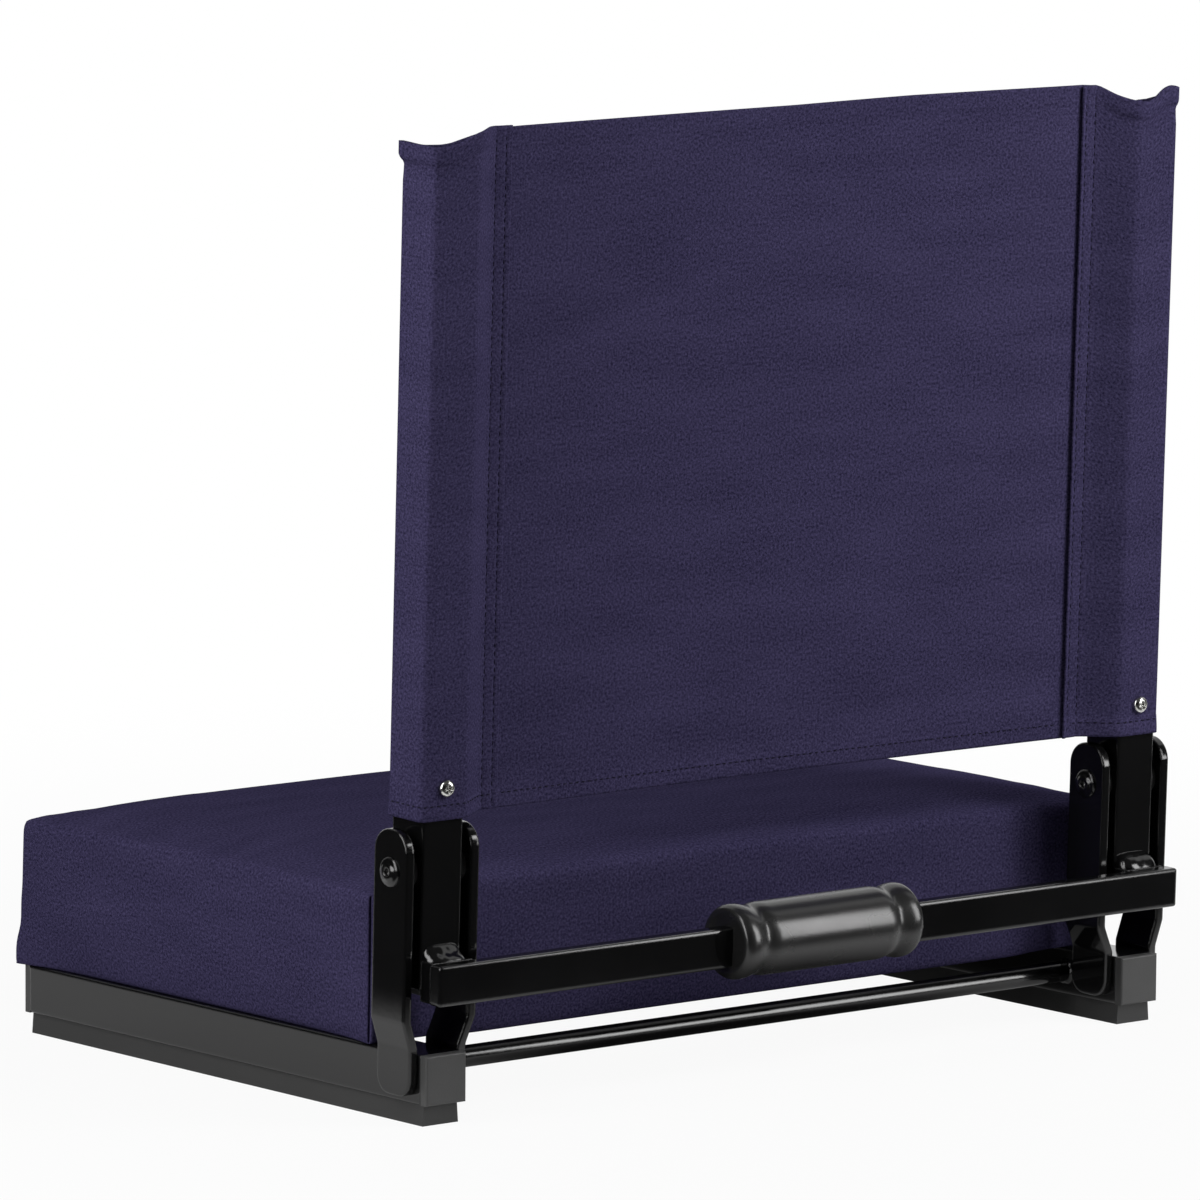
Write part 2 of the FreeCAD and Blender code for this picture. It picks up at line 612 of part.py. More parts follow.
# Back cloth: a panel between the posts whose ends wrap them and are sewn down as sleeves
def make_back_cloth():
    inner = "at.post_in"
    outer = "at.post_out"
    half = "size.cloth_thick / 2"
    front = [("at.seam_offset", f"-{half}"),
             (f"{inner} - size.sleeve_play", "-at.sleeve_out"),
             (f"{outer} + size.sleeve_play + size.cloth_thick", "-at.sleeve_out")]
    rear = [(f"{outer} + size.sleeve_play + size.cloth_thick", "at.sleeve_out"),
            (f"{inner} - size.sleeve_play", "at.sleeve_out"),
            ("at.seam_offset", f"{half} + size.cloth_thick"),
            ("at.seam_offset - size.flap_width", f"{half} + size.cloth_thick"),
            ("at.seam_offset - size.flap_width", half)]
    left = front + rear
    right = [(f"-({x})", y) for x, y in reversed(left)]
    body = new_body("back_cloth")
    sketch = new_sketch(body, "XY_Plane")
    polygon(sketch, left + right)
    for sign in ("", "-"):
        polygon(sketch, [(f"{sign}(at.seam_offset + 2 * size.cloth_thick)", half),
                         (f"{sign}({inner} - size.sleeve_play)", "-at.sleeve_in"),
                         (f"{sign}({outer} + size.sleeve_play)", "-at.sleeve_in"),
                         (f"{sign}({outer} + size.sleeve_play)", "at.sleeve_in"),
                         (f"{sign}({inner} - size.sleeve_play)", "at.sleeve_in")])
    sketch.setExpression("AttachmentOffset.Base.z", "at.cloth_bottom")
    pad(body, sketch, "at.cloth_top - at.cloth_bottom")
    dips = new_sketch(body, "XZ_Plane")
    holes = new_sketch(body, "XZ_Plane")
    for sign in ("", "-"):
        circle(dips, f"{sign}({outer} - size.dip_inset)",
               "at.cloth_top + size.dip_radius - size.dip_depth", "size.dip_radius")
        circle(holes, f"{sign}at.post_x", "at.sleeve_screw_height", "at.screw_hole")
    pocket(body, dips)
    pocket(body, holes, "One side")
    lean(body)
    keep("back_cloth", body)


# Sleeve screws: pan heads that hold each sleeve to its post
def make_sleeve_screws():
    body = new_body("sleeve_screw")
    sketch = new_sketch(body, "YZ_Plane")
    sketch.setExpression("AttachmentOffset.Base.y", "at.sleeve_screw_height")
    base = "at.sleeve_out"
    polygon(sketch, [(f"{base} - size.sleeve_screw_length", "0"),
                     (f"{base} - size.sleeve_screw_length", "size.screw_diameter / 2"),
                     (base, "size.screw_diameter / 2"),
                     (base, "size.screw_head / 2"),
                     (f"{base} + size.screw_rim", "size.screw_head / 2"),
                     (f"{base} + size.screw_rise", "size.screw_crown / 2"),
                     (f"{base} + size.screw_rise", "0")])
    revolve(body, sketch, "H_Axis")
    lean(body, "at.post_x")
    pair = doc.addObject("Part::Compound", "sleeve_screws")
    pair.Links = [body, mirrored(body)]
    keep("sleeve_screws", pair)


# Seat screws: heads inside the rails, shanks up through the hem into the board
def make_seat_screws():
    left = []
    for place in screw_places():
        y = f"at.tube_rear_y - {place}"
        seat = "(at.rail_top - size.tube_wall)"
        shank = doc.addObject("Part::Cylinder", "seat_screw_shank")
        bind(shank, {"Radius": "size.screw_diameter / 2",
                     "Height": "size.tube_wall + size.cover_thick + size.seat_screw_bite"})
        put(shank, "at.rail_x", y, seat)
        head = doc.addObject("Part::Cylinder", "seat_screw_head")
        bind(head, {"Radius": "size.screw_head / 2", "Height": "size.screw_rise"})
        put(head, "at.rail_x", y, f"{seat} - size.screw_rise")
        screw = doc.addObject("Part::Fuse", "seat_screw")
        screw.Base = head
        screw.Tool = shank
        left.append(screw)
    group = doc.addObject("Part::Compound", "seat_screws")
    group.Links = left + [mirrored(screw) for screw in left]
    keep("seat_screws", group)


# Seat board: plywood with blind holes for the seat screws
def make_board():
    body = new_body("seat_board")
    sketch = new_sketch(body, "XY_Plane")
    rectangle(sketch, "-at.board_half", "at.board_half",
              "at.board_front_y", "at.board_front_y + at.board_depth")
    pad(body, sketch, "size.board_thick")
    fillet(body, "size.cushion_corner", lambda edge: runs_along(edge, (0, 0, 1)))
    holes = new_sketch(body, "XY_Plane")
    for place in screw_places():
        for sign in ("", "-"):
            circle(holes, f"{sign}at.rail_x", f"at.tube_rear_y - {place}", "at.screw_hole")
    pocket(body, holes, "One side", True, "size.seat_screw_bite + size.screw_play")
    put(body, "0", "0", "at.board_bottom")
    keep("seat_board", body)


# Dust cover: a thin sheet under the board, inside the hem
def make_dust_cover():
    sheet = doc.addObject("Part::Box", "dust_cover")
    inset = "(size.board_margin + size.hem_width + size.hem_gap)"
    bind(sheet, {"Length": f"at.cushion_width - 2 * {inset}",
                 "Width": f"at.cushion_depth - 2 * {inset}",
                 "Height": "size.cover_thick"})
    put(sheet, f"{inset} - at.cushion_width / 2", f"at.cushion_front_y + {inset}", "at.rail_top")
    keep("dust_cover", sheet)


def cushion_outline(height, inset, bow, skin):
    """Draw one level of the cushion: a rounded rectangle whose sides pull in by bow."""
    half_width = value("at.cushion_width / 2") - inset - skin
    half_depth = value("at.cushion_depth / 2") - inset - skin
    middle_y = value("(at.cushion_front_y + at.cushion_rear_y) / 2")
    tall = value("size.cushion_side + size.cushion_crown")
    z = value("at.rail_top") + skin + height * (tall - 2 * skin) / tall
    radius = value("size.cushion_corner")
    slant = radius * (1 - math.sqrt(0.5))
    edges = []
    for turn in range(4):
        quarter = FreeCAD.Placement(FreeCAD.Vector(0, middle_y, z),
                                    FreeCAD.Rotation(FreeCAD.Vector(0, 0, 1), 90 * turn))
        across, along = (half_width, half_depth) if turn % 2 == 0 else (half_depth, half_width)
        start, middle, end, corner, last = (
            quarter.multVec(FreeCAD.Vector(x, y, 0)) for x, y in (
                (across, radius - along), (across - bow, 0), (across, along - radius),
                (across - slant, along - slant), (across - radius, along)))
        side = Part.Arc(start, middle, end) if bow else Part.LineSegment(start, end)
        edges += [side.toShape(), Part.Arc(end, corner, last).toShape()]
    return Part.Wire(edges)


def cushion_form(skin):
    """Loft the crowned form of the cushion, moved inwards by skin on every side."""
    side, crown, belly, tuck, draw, bow, shoulder, corner = (
        value("size.cushion_" + name)
        for name in ("side", "crown", "belly", "tuck", "draw", "bow", "shoulder", "corner"))
    reach = value("(at.cushion_depth - size.cushion_crest) / 2") - corner - draw - shoulder
    levels = [(share * belly, tuck * (1 - share) ** 2, 0) for share in TUCK_SHARES]
    levels.append(((belly + side - shoulder) / 2, draw / 2, bow))
    for angle in SHOULDER_ANGLES:
        levels.append((side - shoulder * (1 - math.sin(math.radians(angle))),
                       draw + shoulder * (1 - math.cos(math.radians(angle))), bow))
    for step in range(1, CROWN_STEPS + 1):
        share = step / CROWN_STEPS
        levels.append((side + crown * (1 - (1 - share) ** 2), draw + shoulder + share * reach,
                       bow * (1 - share)))
    return Part.makeLoft([cushion_outline(*level, skin) for level in levels], True, True)


# Cushion: a cover sewn over foam and board, open underneath inside its hem
def make_cushion():
    skin = value("size.cover_thick")
    inset = value("size.board_margin + size.hem_width")
    opening = Part.makeBox(value("at.cushion_width") - 2 * inset, value("at.cushion_depth") - 2 * inset,
                           2 * skin)
    opening.translate(FreeCAD.Vector(inset - value("at.cushion_width / 2"),
                                     value("at.cushion_front_y") + inset, value("at.rail_top") - skin))
    shell = cushion_form(0).cut(cushion_form(skin)).cut(opening)
    for place in screw_places():
        for sign in (1, -1):
            hole = Part.makeCylinder(value("at.screw_hole"), 4 * skin)
            hole.translate(FreeCAD.Vector(sign * value("at.rail_x"), value(f"at.tube_rear_y - {place}"),
                                          value("at.rail_top") - 2 * skin))
            shell = shell.cut(hole)
    board = Part.makeBox(2 * value("at.board_half"), value("at.board_depth"), value("size.board_thick"))
    board.translate(FreeCAD.Vector(-value("at.board_half"), value("at.board_front_y"),
                                   value("at.board_bottom")))
    uprights = [edge for edge in board.Edges if runs_along(edge, (0, 0, 1))]
    board = board.makeFillet(value("size.cushion_corner"), uprights)
    foam = cushion_form(skin + value("size.foam_play")).cut(board)
    for label, shape in (("seat_cover", shell), ("seat_foam", foam)):
        feature = doc.addObject("Part::Feature", label)
        feature.Shape = shape.Solids[0]
        feature.Placement = FreeCAD.Placement()
        keep(label, feature)


make_rail()
make_caps()
make_foot_strip()
make_rod("rear_cross_rod", "at.rear_y - size.rear_rod_setback")
make_rod("front_cross_rod", "at.front_y + size.front_rod_setback")
make_plates()
make_rivet()
make_pivot_rings()
make_post()
make_post_plugs()
make_spacer()
make_crossbar()
make_grip()
make_back_cloth()
make_sleeve_screws()
make_seat_screws()
make_board()
make_dust_cover()
make_cushion()
doc.recompute()

for item in doc.Objects:
    if "Invalid" in item.State or "Error" in item.State:
        raise RuntimeError(f"{item.Label} did not build: {item.State}")
for label, item in pieces.items():
    if item.Shape.isNull() or not item.Shape.isValid() or not item.Shape.Solids:
        raise RuntimeError(f"{label} has no sound shape")

os.makedirs("parts", exist_ok=True)
for label, item in pieces.items():
    item.Shape.exportStep(f"parts/{label}.step")
    print(f"{label}: {len(item.Shape.Solids)} solid(s), {item.Shape.Volume / 1000:.2f} cm3")
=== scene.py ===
# %% [markdown]
# # A folding stadium seat
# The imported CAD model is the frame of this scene: square steel rails on rubber strips, posts on riveted hinge
# plates, a crossbar with a moulded grip. The soft parts, the welds and the small turned parts are made here as
# numpy surfaces and ride on the CAD bodies. Lengths are written in millimetres and turned to metres once.

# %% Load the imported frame
import math

import bpy
import numpy as np
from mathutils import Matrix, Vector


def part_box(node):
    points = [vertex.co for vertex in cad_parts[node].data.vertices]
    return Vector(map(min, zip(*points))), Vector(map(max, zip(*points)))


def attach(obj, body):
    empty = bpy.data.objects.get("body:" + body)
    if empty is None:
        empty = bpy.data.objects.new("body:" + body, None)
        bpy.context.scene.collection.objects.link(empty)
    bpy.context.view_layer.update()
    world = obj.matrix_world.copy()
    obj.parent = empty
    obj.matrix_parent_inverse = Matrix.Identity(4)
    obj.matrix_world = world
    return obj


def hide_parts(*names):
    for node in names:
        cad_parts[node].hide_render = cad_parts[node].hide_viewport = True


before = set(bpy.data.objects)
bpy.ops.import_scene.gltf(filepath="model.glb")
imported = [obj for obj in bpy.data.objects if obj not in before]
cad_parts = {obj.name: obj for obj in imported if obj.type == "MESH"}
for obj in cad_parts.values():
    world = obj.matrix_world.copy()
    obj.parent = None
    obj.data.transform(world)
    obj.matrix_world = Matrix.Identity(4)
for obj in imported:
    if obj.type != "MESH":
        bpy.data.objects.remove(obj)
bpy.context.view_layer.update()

MM = 0.001


def in_mm(lengths):
    """Lengths in metres as rounded millimetres, for the printed notes."""
    return [round(length / MM, 1) for length in lengths]


# %% [markdown]
# ## Camera
# The seat was seen from behind and a little above with a long lens, so its parallel edges hardly converge. The
# camera stands on a sphere round the seat, given by a turn about the vertical, a rise and a slight roll. Three
# axes worked out from those angles are the columns of its matrix, which is exact where a track-to constraint
# would lose the roll.

# %% Camera
def unit(vectors):
    """Vectors divided by their lengths."""
    return vectors / np.linalg.norm(vectors, axis=-1, keepdims=True)


def camera_axes(turn, rise, roll):
    """Right, up and back axes of a camera: back points from the target to the lens, right is level before the
    roll, and the roll then turns right and up about back."""
    back = np.array([np.sin(turn) * np.cos(rise), np.cos(turn) * np.cos(rise), np.sin(rise)])
    right = unit(np.cross([0, 0, 1], back))
    up = np.cross(back, right)
    return np.cos(roll) * right + np.sin(roll) * up, np.cos(roll) * up - np.sin(roll) * right, back


def stand_at(thing, right, up, back, spot):
    """Put an object at a spot with its own axes along right, up and back, and add it to the scene."""
    matrix = np.eye(4)
    matrix[:3, :4] = np.column_stack([right, up, back, spot])
    thing.matrix_world = matrix.T.tolist()
    bpy.context.scene.collection.objects.link(thing)


TURN, RISE, ROLL = np.radians([39.614, 7.932, 0.4006])
AIM, DISTANCE = np.array([-4.22, -13.38, 197.4]) * MM, 4.64037
right, up, back = camera_axes(TURN, RISE, ROLL)
eye = AIM + DISTANCE * back
camera = bpy.data.objects.new("camera", bpy.data.cameras.new("camera"))
camera.data.sensor_width, camera.data.lens = 36.0, 303.9
camera.data.clip_end = 100
stand_at(camera, right, up, back, eye)
bpy.context.scene.camera = camera
print("camera at", eye.round(3), "m")

# %% [markdown]
# ## Node helper and colours
# Every finish below is a small node tree. One helper adds a node, sets its properties and fills its inputs with
# plain values or links. Short helpers on top of it name the steps that every finish takes, so that a tree reads
# from the pattern to the shader. Colours are written as sRGB hex and turned to the linear values that the
# renderer adds up.

# %% Node helper and colours
def linear(hex_colour):
    """sRGB hex to linear RGBA: below 0.04045 a straight line, above it a power of 2.4."""
    srgb = np.array([int(hex_colour[i:i + 2], 16) for i in (1, 3, 5)]) / 255
    rgb = np.where(srgb <= 0.04045, srgb / 12.92, ((srgb + 0.055) / 1.055) ** 2.4)
    return (*rgb.tolist(), 1.0)


def add_node(tree, kind, inputs=None, **settings):
    """Add a node, set its properties, and give each named input a value or a link."""
    made = tree.nodes.new(kind)
    for name, value in settings.items():
        setattr(made, name, value)
    for name, value in (inputs or {}).items():
        if isinstance(value, bpy.types.NodeSocket):
            tree.links.new(value, made.inputs[name])
        else:
            made.inputs[name].default_value = value
    return made


def reckon(tree, operation, *values):
    """A Math node on the given values or links."""
    return add_node(tree, "ShaderNodeMath", dict(enumerate(values)), operation=operation).outputs["Value"]


def on_object(tree):
    """The place on the object that a pattern reads."""
    return add_node(tree, "ShaderNodeTexCoord").outputs["Object"]


def noise(tree, vector, size, detail, **inputs):
    """Cloudy noise with spots of about the given size in metres."""
    made = add_node(tree, "ShaderNodeTexNoise", {"Vector": vector, "Scale": 1 / size, "Detail": detail, **inputs})
    return made.outputs["Fac"]


def two_tone(tree, value, dark, light, low=0.0, high=1.0):
    """A colour that goes from dark to light while the value goes from low to high."""
    made = add_node(tree, "ShaderNodeValToRGB", {"Fac": value})
    for stop, place, colour in zip(made.color_ramp.elements, (low, high), (dark, light)):
        stop.position, stop.color = place, linear(colour)
    return made.outputs["Color"]


def carry(tree, value, low, high, start=0.0, stop=1.0, curve="LINEAR"):
    """A value carried from low to high while it goes from start to stop, in a straight line or an even S."""
    made = add_node(tree, "ShaderNodeMapRange", {"Value": value, "From Min": start, "From Max": stop,
                    "To Min": low, "To Max": high}, interpolation_type=curve)
    return made.outputs["Result"]


def relief(tree, height, strength, depth, **inputs):
    """The normal of a surface whose bumps have the given depth in metres."""
    made = add_node(tree, "ShaderNodeBump", {"Strength": strength, "Distance": depth, "Height": height, **inputs})
    return made.outputs["Normal"]


def coat(tree, inputs):
    """The surface shader with these inputs, led to the material's output."""
    shader = add_node(tree, "ShaderNodeBsdfPrincipled", inputs)
    add_node(tree, "ShaderNodeOutputMaterial", {"Surface": shader.outputs["BSDF"]})


def new_finish(name):
    """A material and its node tree, still empty."""
    material = bpy.data.materials.new(name)
    material.use_nodes = True
    material.node_tree.nodes.clear()
    return material, material.node_tree


print("enamel black in linear light:", [round(value, 4) for value in linear("#0B0B0C")[:3]])

# %% [markdown]
# ## Studio
# The seat stands on a white paper sweep that rises to a wall all round, far off. To the camera the paper is
# close to white and only the shadow darkens it. In the gloss of the black steel the paper shows a painted
# reflection: pale beside the seat, with a painted shadow under the seat on top of its real shadow, and fading
# to a dim room further off, as if only a pool of it were lit. That is why low faces of the steel look grey and
# upright ones nearly black.

# %% Paper floor
def grid_faces(rows, columns, closed=False):
    """Quads of a grid numbered row by row. A closed grid joins its last column to its first."""
    row, column = np.meshgrid(np.arange(rows - 1), np.arange(columns if closed else columns - 1), indexing="ij")
    onward = (column + 1) % columns
    here, above = row * columns, (row + 1) * columns
    return np.stack([here + column, here + onward, above + onward, above + column], -1).reshape(-1, 4)


def new_mesh(name, points, faces, finish):
    """A mesh object at the origin from points in metres and faces of any number of corners, shaded smooth."""
    mesh = bpy.data.meshes.new(name)
    mesh.from_pydata(np.asarray(points).tolist(), [], [face for group in faces for face in group.tolist()])
    mesh.materials.append(finish)
    mesh.shade_smooth()
    made = bpy.data.objects.new(name, mesh)
    bpy.context.scene.collection.objects.link(made)
    return made


paper, tree = new_finish("white_paper_sweep")
path = add_node(tree, "ShaderNodeLightPath").outputs
place = on_object(tree)
away = add_node(tree, "ShaderNodeVectorMath", {0: place}, operation="LENGTH").outputs["Value"]
spot = add_node(tree, "ShaderNodeSeparateXYZ", {"Vector": place}).outputs
# painted reflection for gloss rays: the paper is pale beside the seat and dark further off to the left and behind
# it, and a painted shadow darkens it under the seat
beside = carry(tree, spot["X"], 0.90, 0.03, 0.37, 0.425, "SMOOTHSTEP")
behind = carry(tree, spot["Y"], 1.0, 0.04, 0.22, 0.34, "SMOOTHSTEP")
painted_shadow_under = carry(tree, away, 0.05, 1.0, 0.13, 0.24, "SMOOTHSTEP")
painted_pool = reckon(tree, "MULTIPLY", reckon(tree, "MULTIPLY", beside, behind), painted_shadow_under)
# for gloss rays both the paper's colour and its glow follow the painted pool and painted shadow
level, shown = (add_node(tree, "ShaderNodeMix", {"Factor": path["Is Glossy Ray"], "A": plain, "B": painted_pool},
                         data_type="FLOAT").outputs["Result"] for plain in (0.40, 1.0))
pale = add_node(tree, "ShaderNodeCombineColor", {channel: level for channel in ("Red", "Green", "Blue")})
matt = add_node(tree, "ShaderNodeBsdfDiffuse", {"Color": pale.outputs["Color"]})
white = add_node(tree, "ShaderNodeEmission", {"Strength": shown})
# the camera sees nearly white paper; for gloss, four tenths of the paper glows at the painted pool's level without
# the lamps, and the rest is lit by them
direct = reckon(tree, "MAXIMUM", path["Is Camera Ray"], path["Is Transmission Ray"])
seen = reckon(tree, "MULTIPLY", direct, carry(tree, away, 0.94, 1.0, 0.25, 1.1, "SMOOTHSTEP"))
share = reckon(tree, "MULTIPLY_ADD", path["Is Glossy Ray"], 0.4, seen)
mixed = add_node(tree, "ShaderNodeMixShader",
                 {"Fac": share, 1: matt.outputs["BSDF"], 2: white.outputs["Emission"]})
add_node(tree, "ShaderNodeOutputMaterial", {"Surface": mixed.outputs["Shader"]})

FLOOR_HALF, FLAT_PART, WALL_HEIGHT = 14, 9, 7
reach = np.linspace(-FLOOR_HALF, FLOOR_HALF, 57)
floor_x, floor_y = np.meshgrid(reach, reach)
floor_z = WALL_HEIGHT * np.clip((np.hypot(floor_x, floor_y) - FLAT_PART) / (FLOOR_HALF - FLAT_PART), 0, 1) ** 2
floor_points = np.stack([floor_x, floor_y, floor_z], -1).reshape(-1, 3)
floor = new_mesh("paper_floor", floor_points, [grid_faces(len(reach), len(reach))], paper)
print("paper floor", floor.dimensions[:])

# %% [markdown]
# ## Light
# Four softboxes, as in a plain product studio. A tall one beside the seat's left rail is the strongest, so the
# cloth that faces it is the lightest, and its thin reflection runs along the edges of the hinge plates. A narrow
# upright strip to the right of the camera lights the right of the back more than its left and draws the bands
# along the grip and the rods. One high behind the seat lights the top of the back, and is flagged off so that it
# doesn't show in gloss. A wide, dim one on the far side stands for the lit paper there, and shows in the bar's
# upper face. The world adds a faint even fill.

# %% Softboxes and world
SEAT_MIDDLE = np.array([0, 0, 0.2])


def softbox(name, azimuth, elevation, distance, width, height, level):
    """A rectangular area lamp on a sphere round the seat, aimed at its middle. Level is what a white card that
    faces the lamp at the seat's middle would show, so the power is the level times the square of pi times the
    distance."""
    lamp = bpy.data.lights.new(name, "AREA")
    lamp.shape, lamp.size, lamp.size_y = "RECTANGLE", width, height
    lamp.energy = level * (math.pi * distance) ** 2
    box = bpy.data.objects.new(name, lamp)
    box.visible_camera = False
    around, above = math.radians(azimuth), math.radians(elevation)
    out = np.array([math.sin(around) * math.cos(above), -math.cos(around) * math.cos(above), math.sin(above)])
    side = unit(np.cross([0, 0, 1], out))
    stand_at(box, side, np.cross(out, side), out, SEAT_MIDDLE + distance * out)
    return box


softbox("left_softbox", 96, 25, 1.1, 0.5, 1.2, 1.06)
softbox("upright_strip", 219, 14, 1.2, 0.32, 0.8, 0.50)
softbox("high_softbox", 208, 40, 1.4, 0.6, 0.6, 0.58).visible_glossy = False
softbox("far_paper", 320, 38, 2.2, 5.0, 3.2, 0.80)

world = bpy.data.worlds.new("studio_fill")
bpy.context.scene.world = world
world.use_nodes = True
world.node_tree.nodes.clear()
tree = world.node_tree
sky = add_node(tree, "ShaderNodeBackground", {"Color": linear("#FFFFFF"), "Strength": 0.08})
add_node(tree, "ShaderNodeOutputWorld", {"Surface": sky.outputs["Background"]})
bpy.context.scene.view_settings.view_transform = "Standard"
print("lamps:", [(lamp.name, round(lamp.energy, 1)) for lamp in bpy.data.lights])

# %% [markdown]
# ## Woven polyester
# The cover and the back are one navy polyester canvas in plain weave. Its threads cross every half millimetre,
# too fine for the picture, so they are drawn one millimetre apart. The weave lifts each crossing a little, the
# single fibres speckle it, and they scatter the light so much that there is no mirror-like part, only a soft
# sheen at grazing angles. The pattern reads a UV map in metres that follows the cloth round its folds.

# %% Woven polyester
THREAD_SPACING = 1.0 * MM

canvas, tree = new_finish("woven_polyester_canvas")
weave = add_node(tree, "ShaderNodeUVMap", uv_map="weave").outputs["UV"]
across = add_node(tree, "ShaderNodeSeparateXYZ", {"Vector": weave}).outputs
warp, weft = (reckon(tree, "SINE", reckon(tree, "MULTIPLY", across[way], math.pi / THREAD_SPACING))
              for way in "XY")
crossing = reckon(tree, "MULTIPLY", warp, weft)
# a random speckle of single fibres, and a faint cloudiness of painted light and shade in soft horizontal bands, 60
# mm wide and 18 mm high
fibres = noise(tree, weave, 1.2 * MM, 3.0, Roughness=0.7)
painted_band_map = add_node(tree, "ShaderNodeMapping", {"Vector": weave, "Scale": (16, 55, 1)})
painted_shade_bands = noise(tree, painted_band_map.outputs["Vector"], 1.0, 2.0)
shade = two_tone(tree, reckon(tree, "MULTIPLY_ADD", painted_shade_bands, 0.14, fibres), "#19172A", "#423D5B", 0.38, 0.78)
raised = relief(tree, reckon(tree, "MULTIPLY_ADD", crossing, 0.3, fibres), 0.35, 0.12 * MM)
coat(tree, {"Base Color": shade, "Roughness": carry(tree, fibres, 0.78, 0.92), "IOR": 1.5,
            "Specular IOR Level": 0.0, "Sheen Weight": 0.04, "Sheen Roughness": 0.5,
            "Sheen Tint": linear("#6E6A98"), "Normal": raised})
print(canvas.name, len(tree.nodes), "nodes")

# %% [markdown]
# ## Seat cushion
# The cushion is a block of foam on a board in a sewn cover. One piece of cloth is drawn over the top and down
# the sides, and is closed by a seam at each upright corner. The block could be a subdivided cube, but a lattice
# with known row and column numbers keeps hold of its corner lines, so that the seams can be sunk after the cloth
# has been blown up by the foam inside. Its sides pull in between the corners and its top is crowned.

# %% Cushion lattice
def lattice_box(x, y, z):
    """Surface of a box lattice: for each axis and each end a sheet of quads, with points shared by their place
    (i, j, k) in the lattice. Returns the places and the faces, all turned outwards."""
    counts = np.array([len(x), len(y), len(z)])
    sheets = []
    for axis in range(3):
        first, second = (axis + 1) % 3, (axis + 2) % 3
        a, b = np.meshgrid(np.arange(counts[first] - 1), np.arange(counts[second] - 1), indexing="ij")
        for end, steps in ((0, ((0, 0), (0, 1), (1, 1), (1, 0))), (1, ((0, 0), (1, 0), (1, 1), (0, 1)))):
            place = np.zeros((a.size, 4, 3), int)
            place[:, :, axis] = end * (counts[axis] - 1)
            for corner, (da, db) in enumerate(steps):
                place[:, corner, first], place[:, corner, second] = a.ravel() + da, b.ravel() + db
            sheets.append(place)
    number = np.ravel_multi_index(np.moveaxis(np.concatenate(sheets), -1, 0), counts)
    used, faces = np.unique(number, return_inverse=True)
    return np.stack(np.unravel_index(used, counts), -1), faces.reshape(-1, 4)


def graded(length, near_end, cell):
    """Places along a length from -half to half: a few small steps at both ends and even cells between."""
    lead = np.cumsum(near_end)
    inner = np.linspace(-length / 2 + lead[-1], length / 2 - lead[-1], round((length - 2 * lead[-1]) / cell) + 1)
    return np.concatenate([[-length / 2], lead[:-1] - length / 2, inner, length / 2 - lead[-2::-1], [length / 2]])


SEAT_WIDTH, SEAT_DEPTH, SEAT_MIDDLE_Y = 437.4, 261.2, -31.2
SEAT_FOOT, SEAT_SIDE, SEAT_CROWN = 31.4, 67.6, 8.8
EDGE_STEPS = np.array([0.8, 1.5, 2.4, 3.4, 4.4])
lattice = [graded(length, EDGE_STEPS, cell)
           for length, cell in ((SEAT_WIDTH, 6.5), (SEAT_DEPTH, 6.5), (SEAT_SIDE, 6.0))]
seat_place, seat_faces = lattice_box(*lattice)
print("cushion lattice", [len(line) for line in lattice], len(seat_faces), "faces")

# %% Cushion form
def smooth_step(value, low, high):
    """0 below low, 1 above high, and an even S between them."""
    share = np.clip((value - low) / (high - low), 0, 1)
    return share * share * (3 - 2 * share)


EDGE_RADIUS, FOOT_SHARE = np.array([4.5, 4.5, 5.5]), np.array([0.6, 0.6, 0.25])
LEAN_IN, SIDE_BOW, SIDE_TUCK, RIM_SAG, FOLD_OUT = 1.2, 0.8, 4.6, 1.3, 2.3


def cushion_form(place):
    """Box lattice to cushion. Edges: a point is kept inside a box smaller by the edge radius and pushed back out
    by that radius, which rounds every edge. Sides: drawn in by a parabola between the corners, the left and right
    ones tucked in at the foot, all leaning in slightly to the top. Crown: a bump that rises fast at the edges and
    is flat in the middle. Sag: the front and rear rims hang a little between the rails. Fold: the cloth that is
    gathered under the front left corner stands out there as a small block."""
    half = np.array([SEAT_WIDTH, SEAT_DEPTH, SEAT_SIDE]) / 2
    point = np.stack([line[place[:, axis]] for axis, line in enumerate(lattice)], -1)
    radius = EDGE_RADIUS * np.where(point[:, 2:] < 0, FOOT_SHARE, 1)
    core = np.clip(point, radius - half, half - radius)
    out = (point - core) / radius
    length = np.linalg.norm(out, axis=1, keepdims=True)
    point = core + np.where(length > 0, out / np.maximum(length, 1e-9), 0) * radius
    u, v, w = (point / half).T
    height = (w + 1) / 2
    narrow = LEAN_IN * height
    tuck = SIDE_TUCK * np.clip(1 - height / 0.6, 0, 1) ** 1.4
    point[:, 0] -= np.sign(u) * np.abs(u) ** 9 * (narrow + SIDE_BOW * (1 - v ** 2) + tuck * (1 - v ** 8))
    point[:, 1] -= np.sign(v) * np.abs(v) ** 9 * (narrow + SIDE_BOW * (1 - u ** 2) + 0.2 * tuck)
    rise = np.clip((height - 0.75) / 0.25, 0, 1) ** 2
    point[:, 2] += SEAT_CROWN * rise * (1 - np.abs(u) ** 7) * (1 - np.abs(v) ** 5)
    rim = smooth_step(np.abs(v), 0.80, 0.95) * smooth_step(0.84 - np.abs(u), 0, 0.12)
    point[:, 2] -= RIM_SAG * rim * np.clip(1 - height / 0.2, 0, 1)
    fold = np.exp(-((u - 1) / 0.08) ** 2 - ((v + 1) / 0.12) ** 2) * (1 - smooth_step(height, 0.15, 0.27))
    point[:, :2] += FOLD_OUT * fold[:, None] * [0.77, -0.64]
    return (point + [0, SEAT_MIDDLE_Y, SEAT_FOOT + SEAT_SIDE / 2]) * MM


cushion = new_mesh("seat_cushion", cushion_form(seat_place), [seat_faces], canvas)
print("cushion before it is filled, mm:", in_mm(cushion.dimensions))

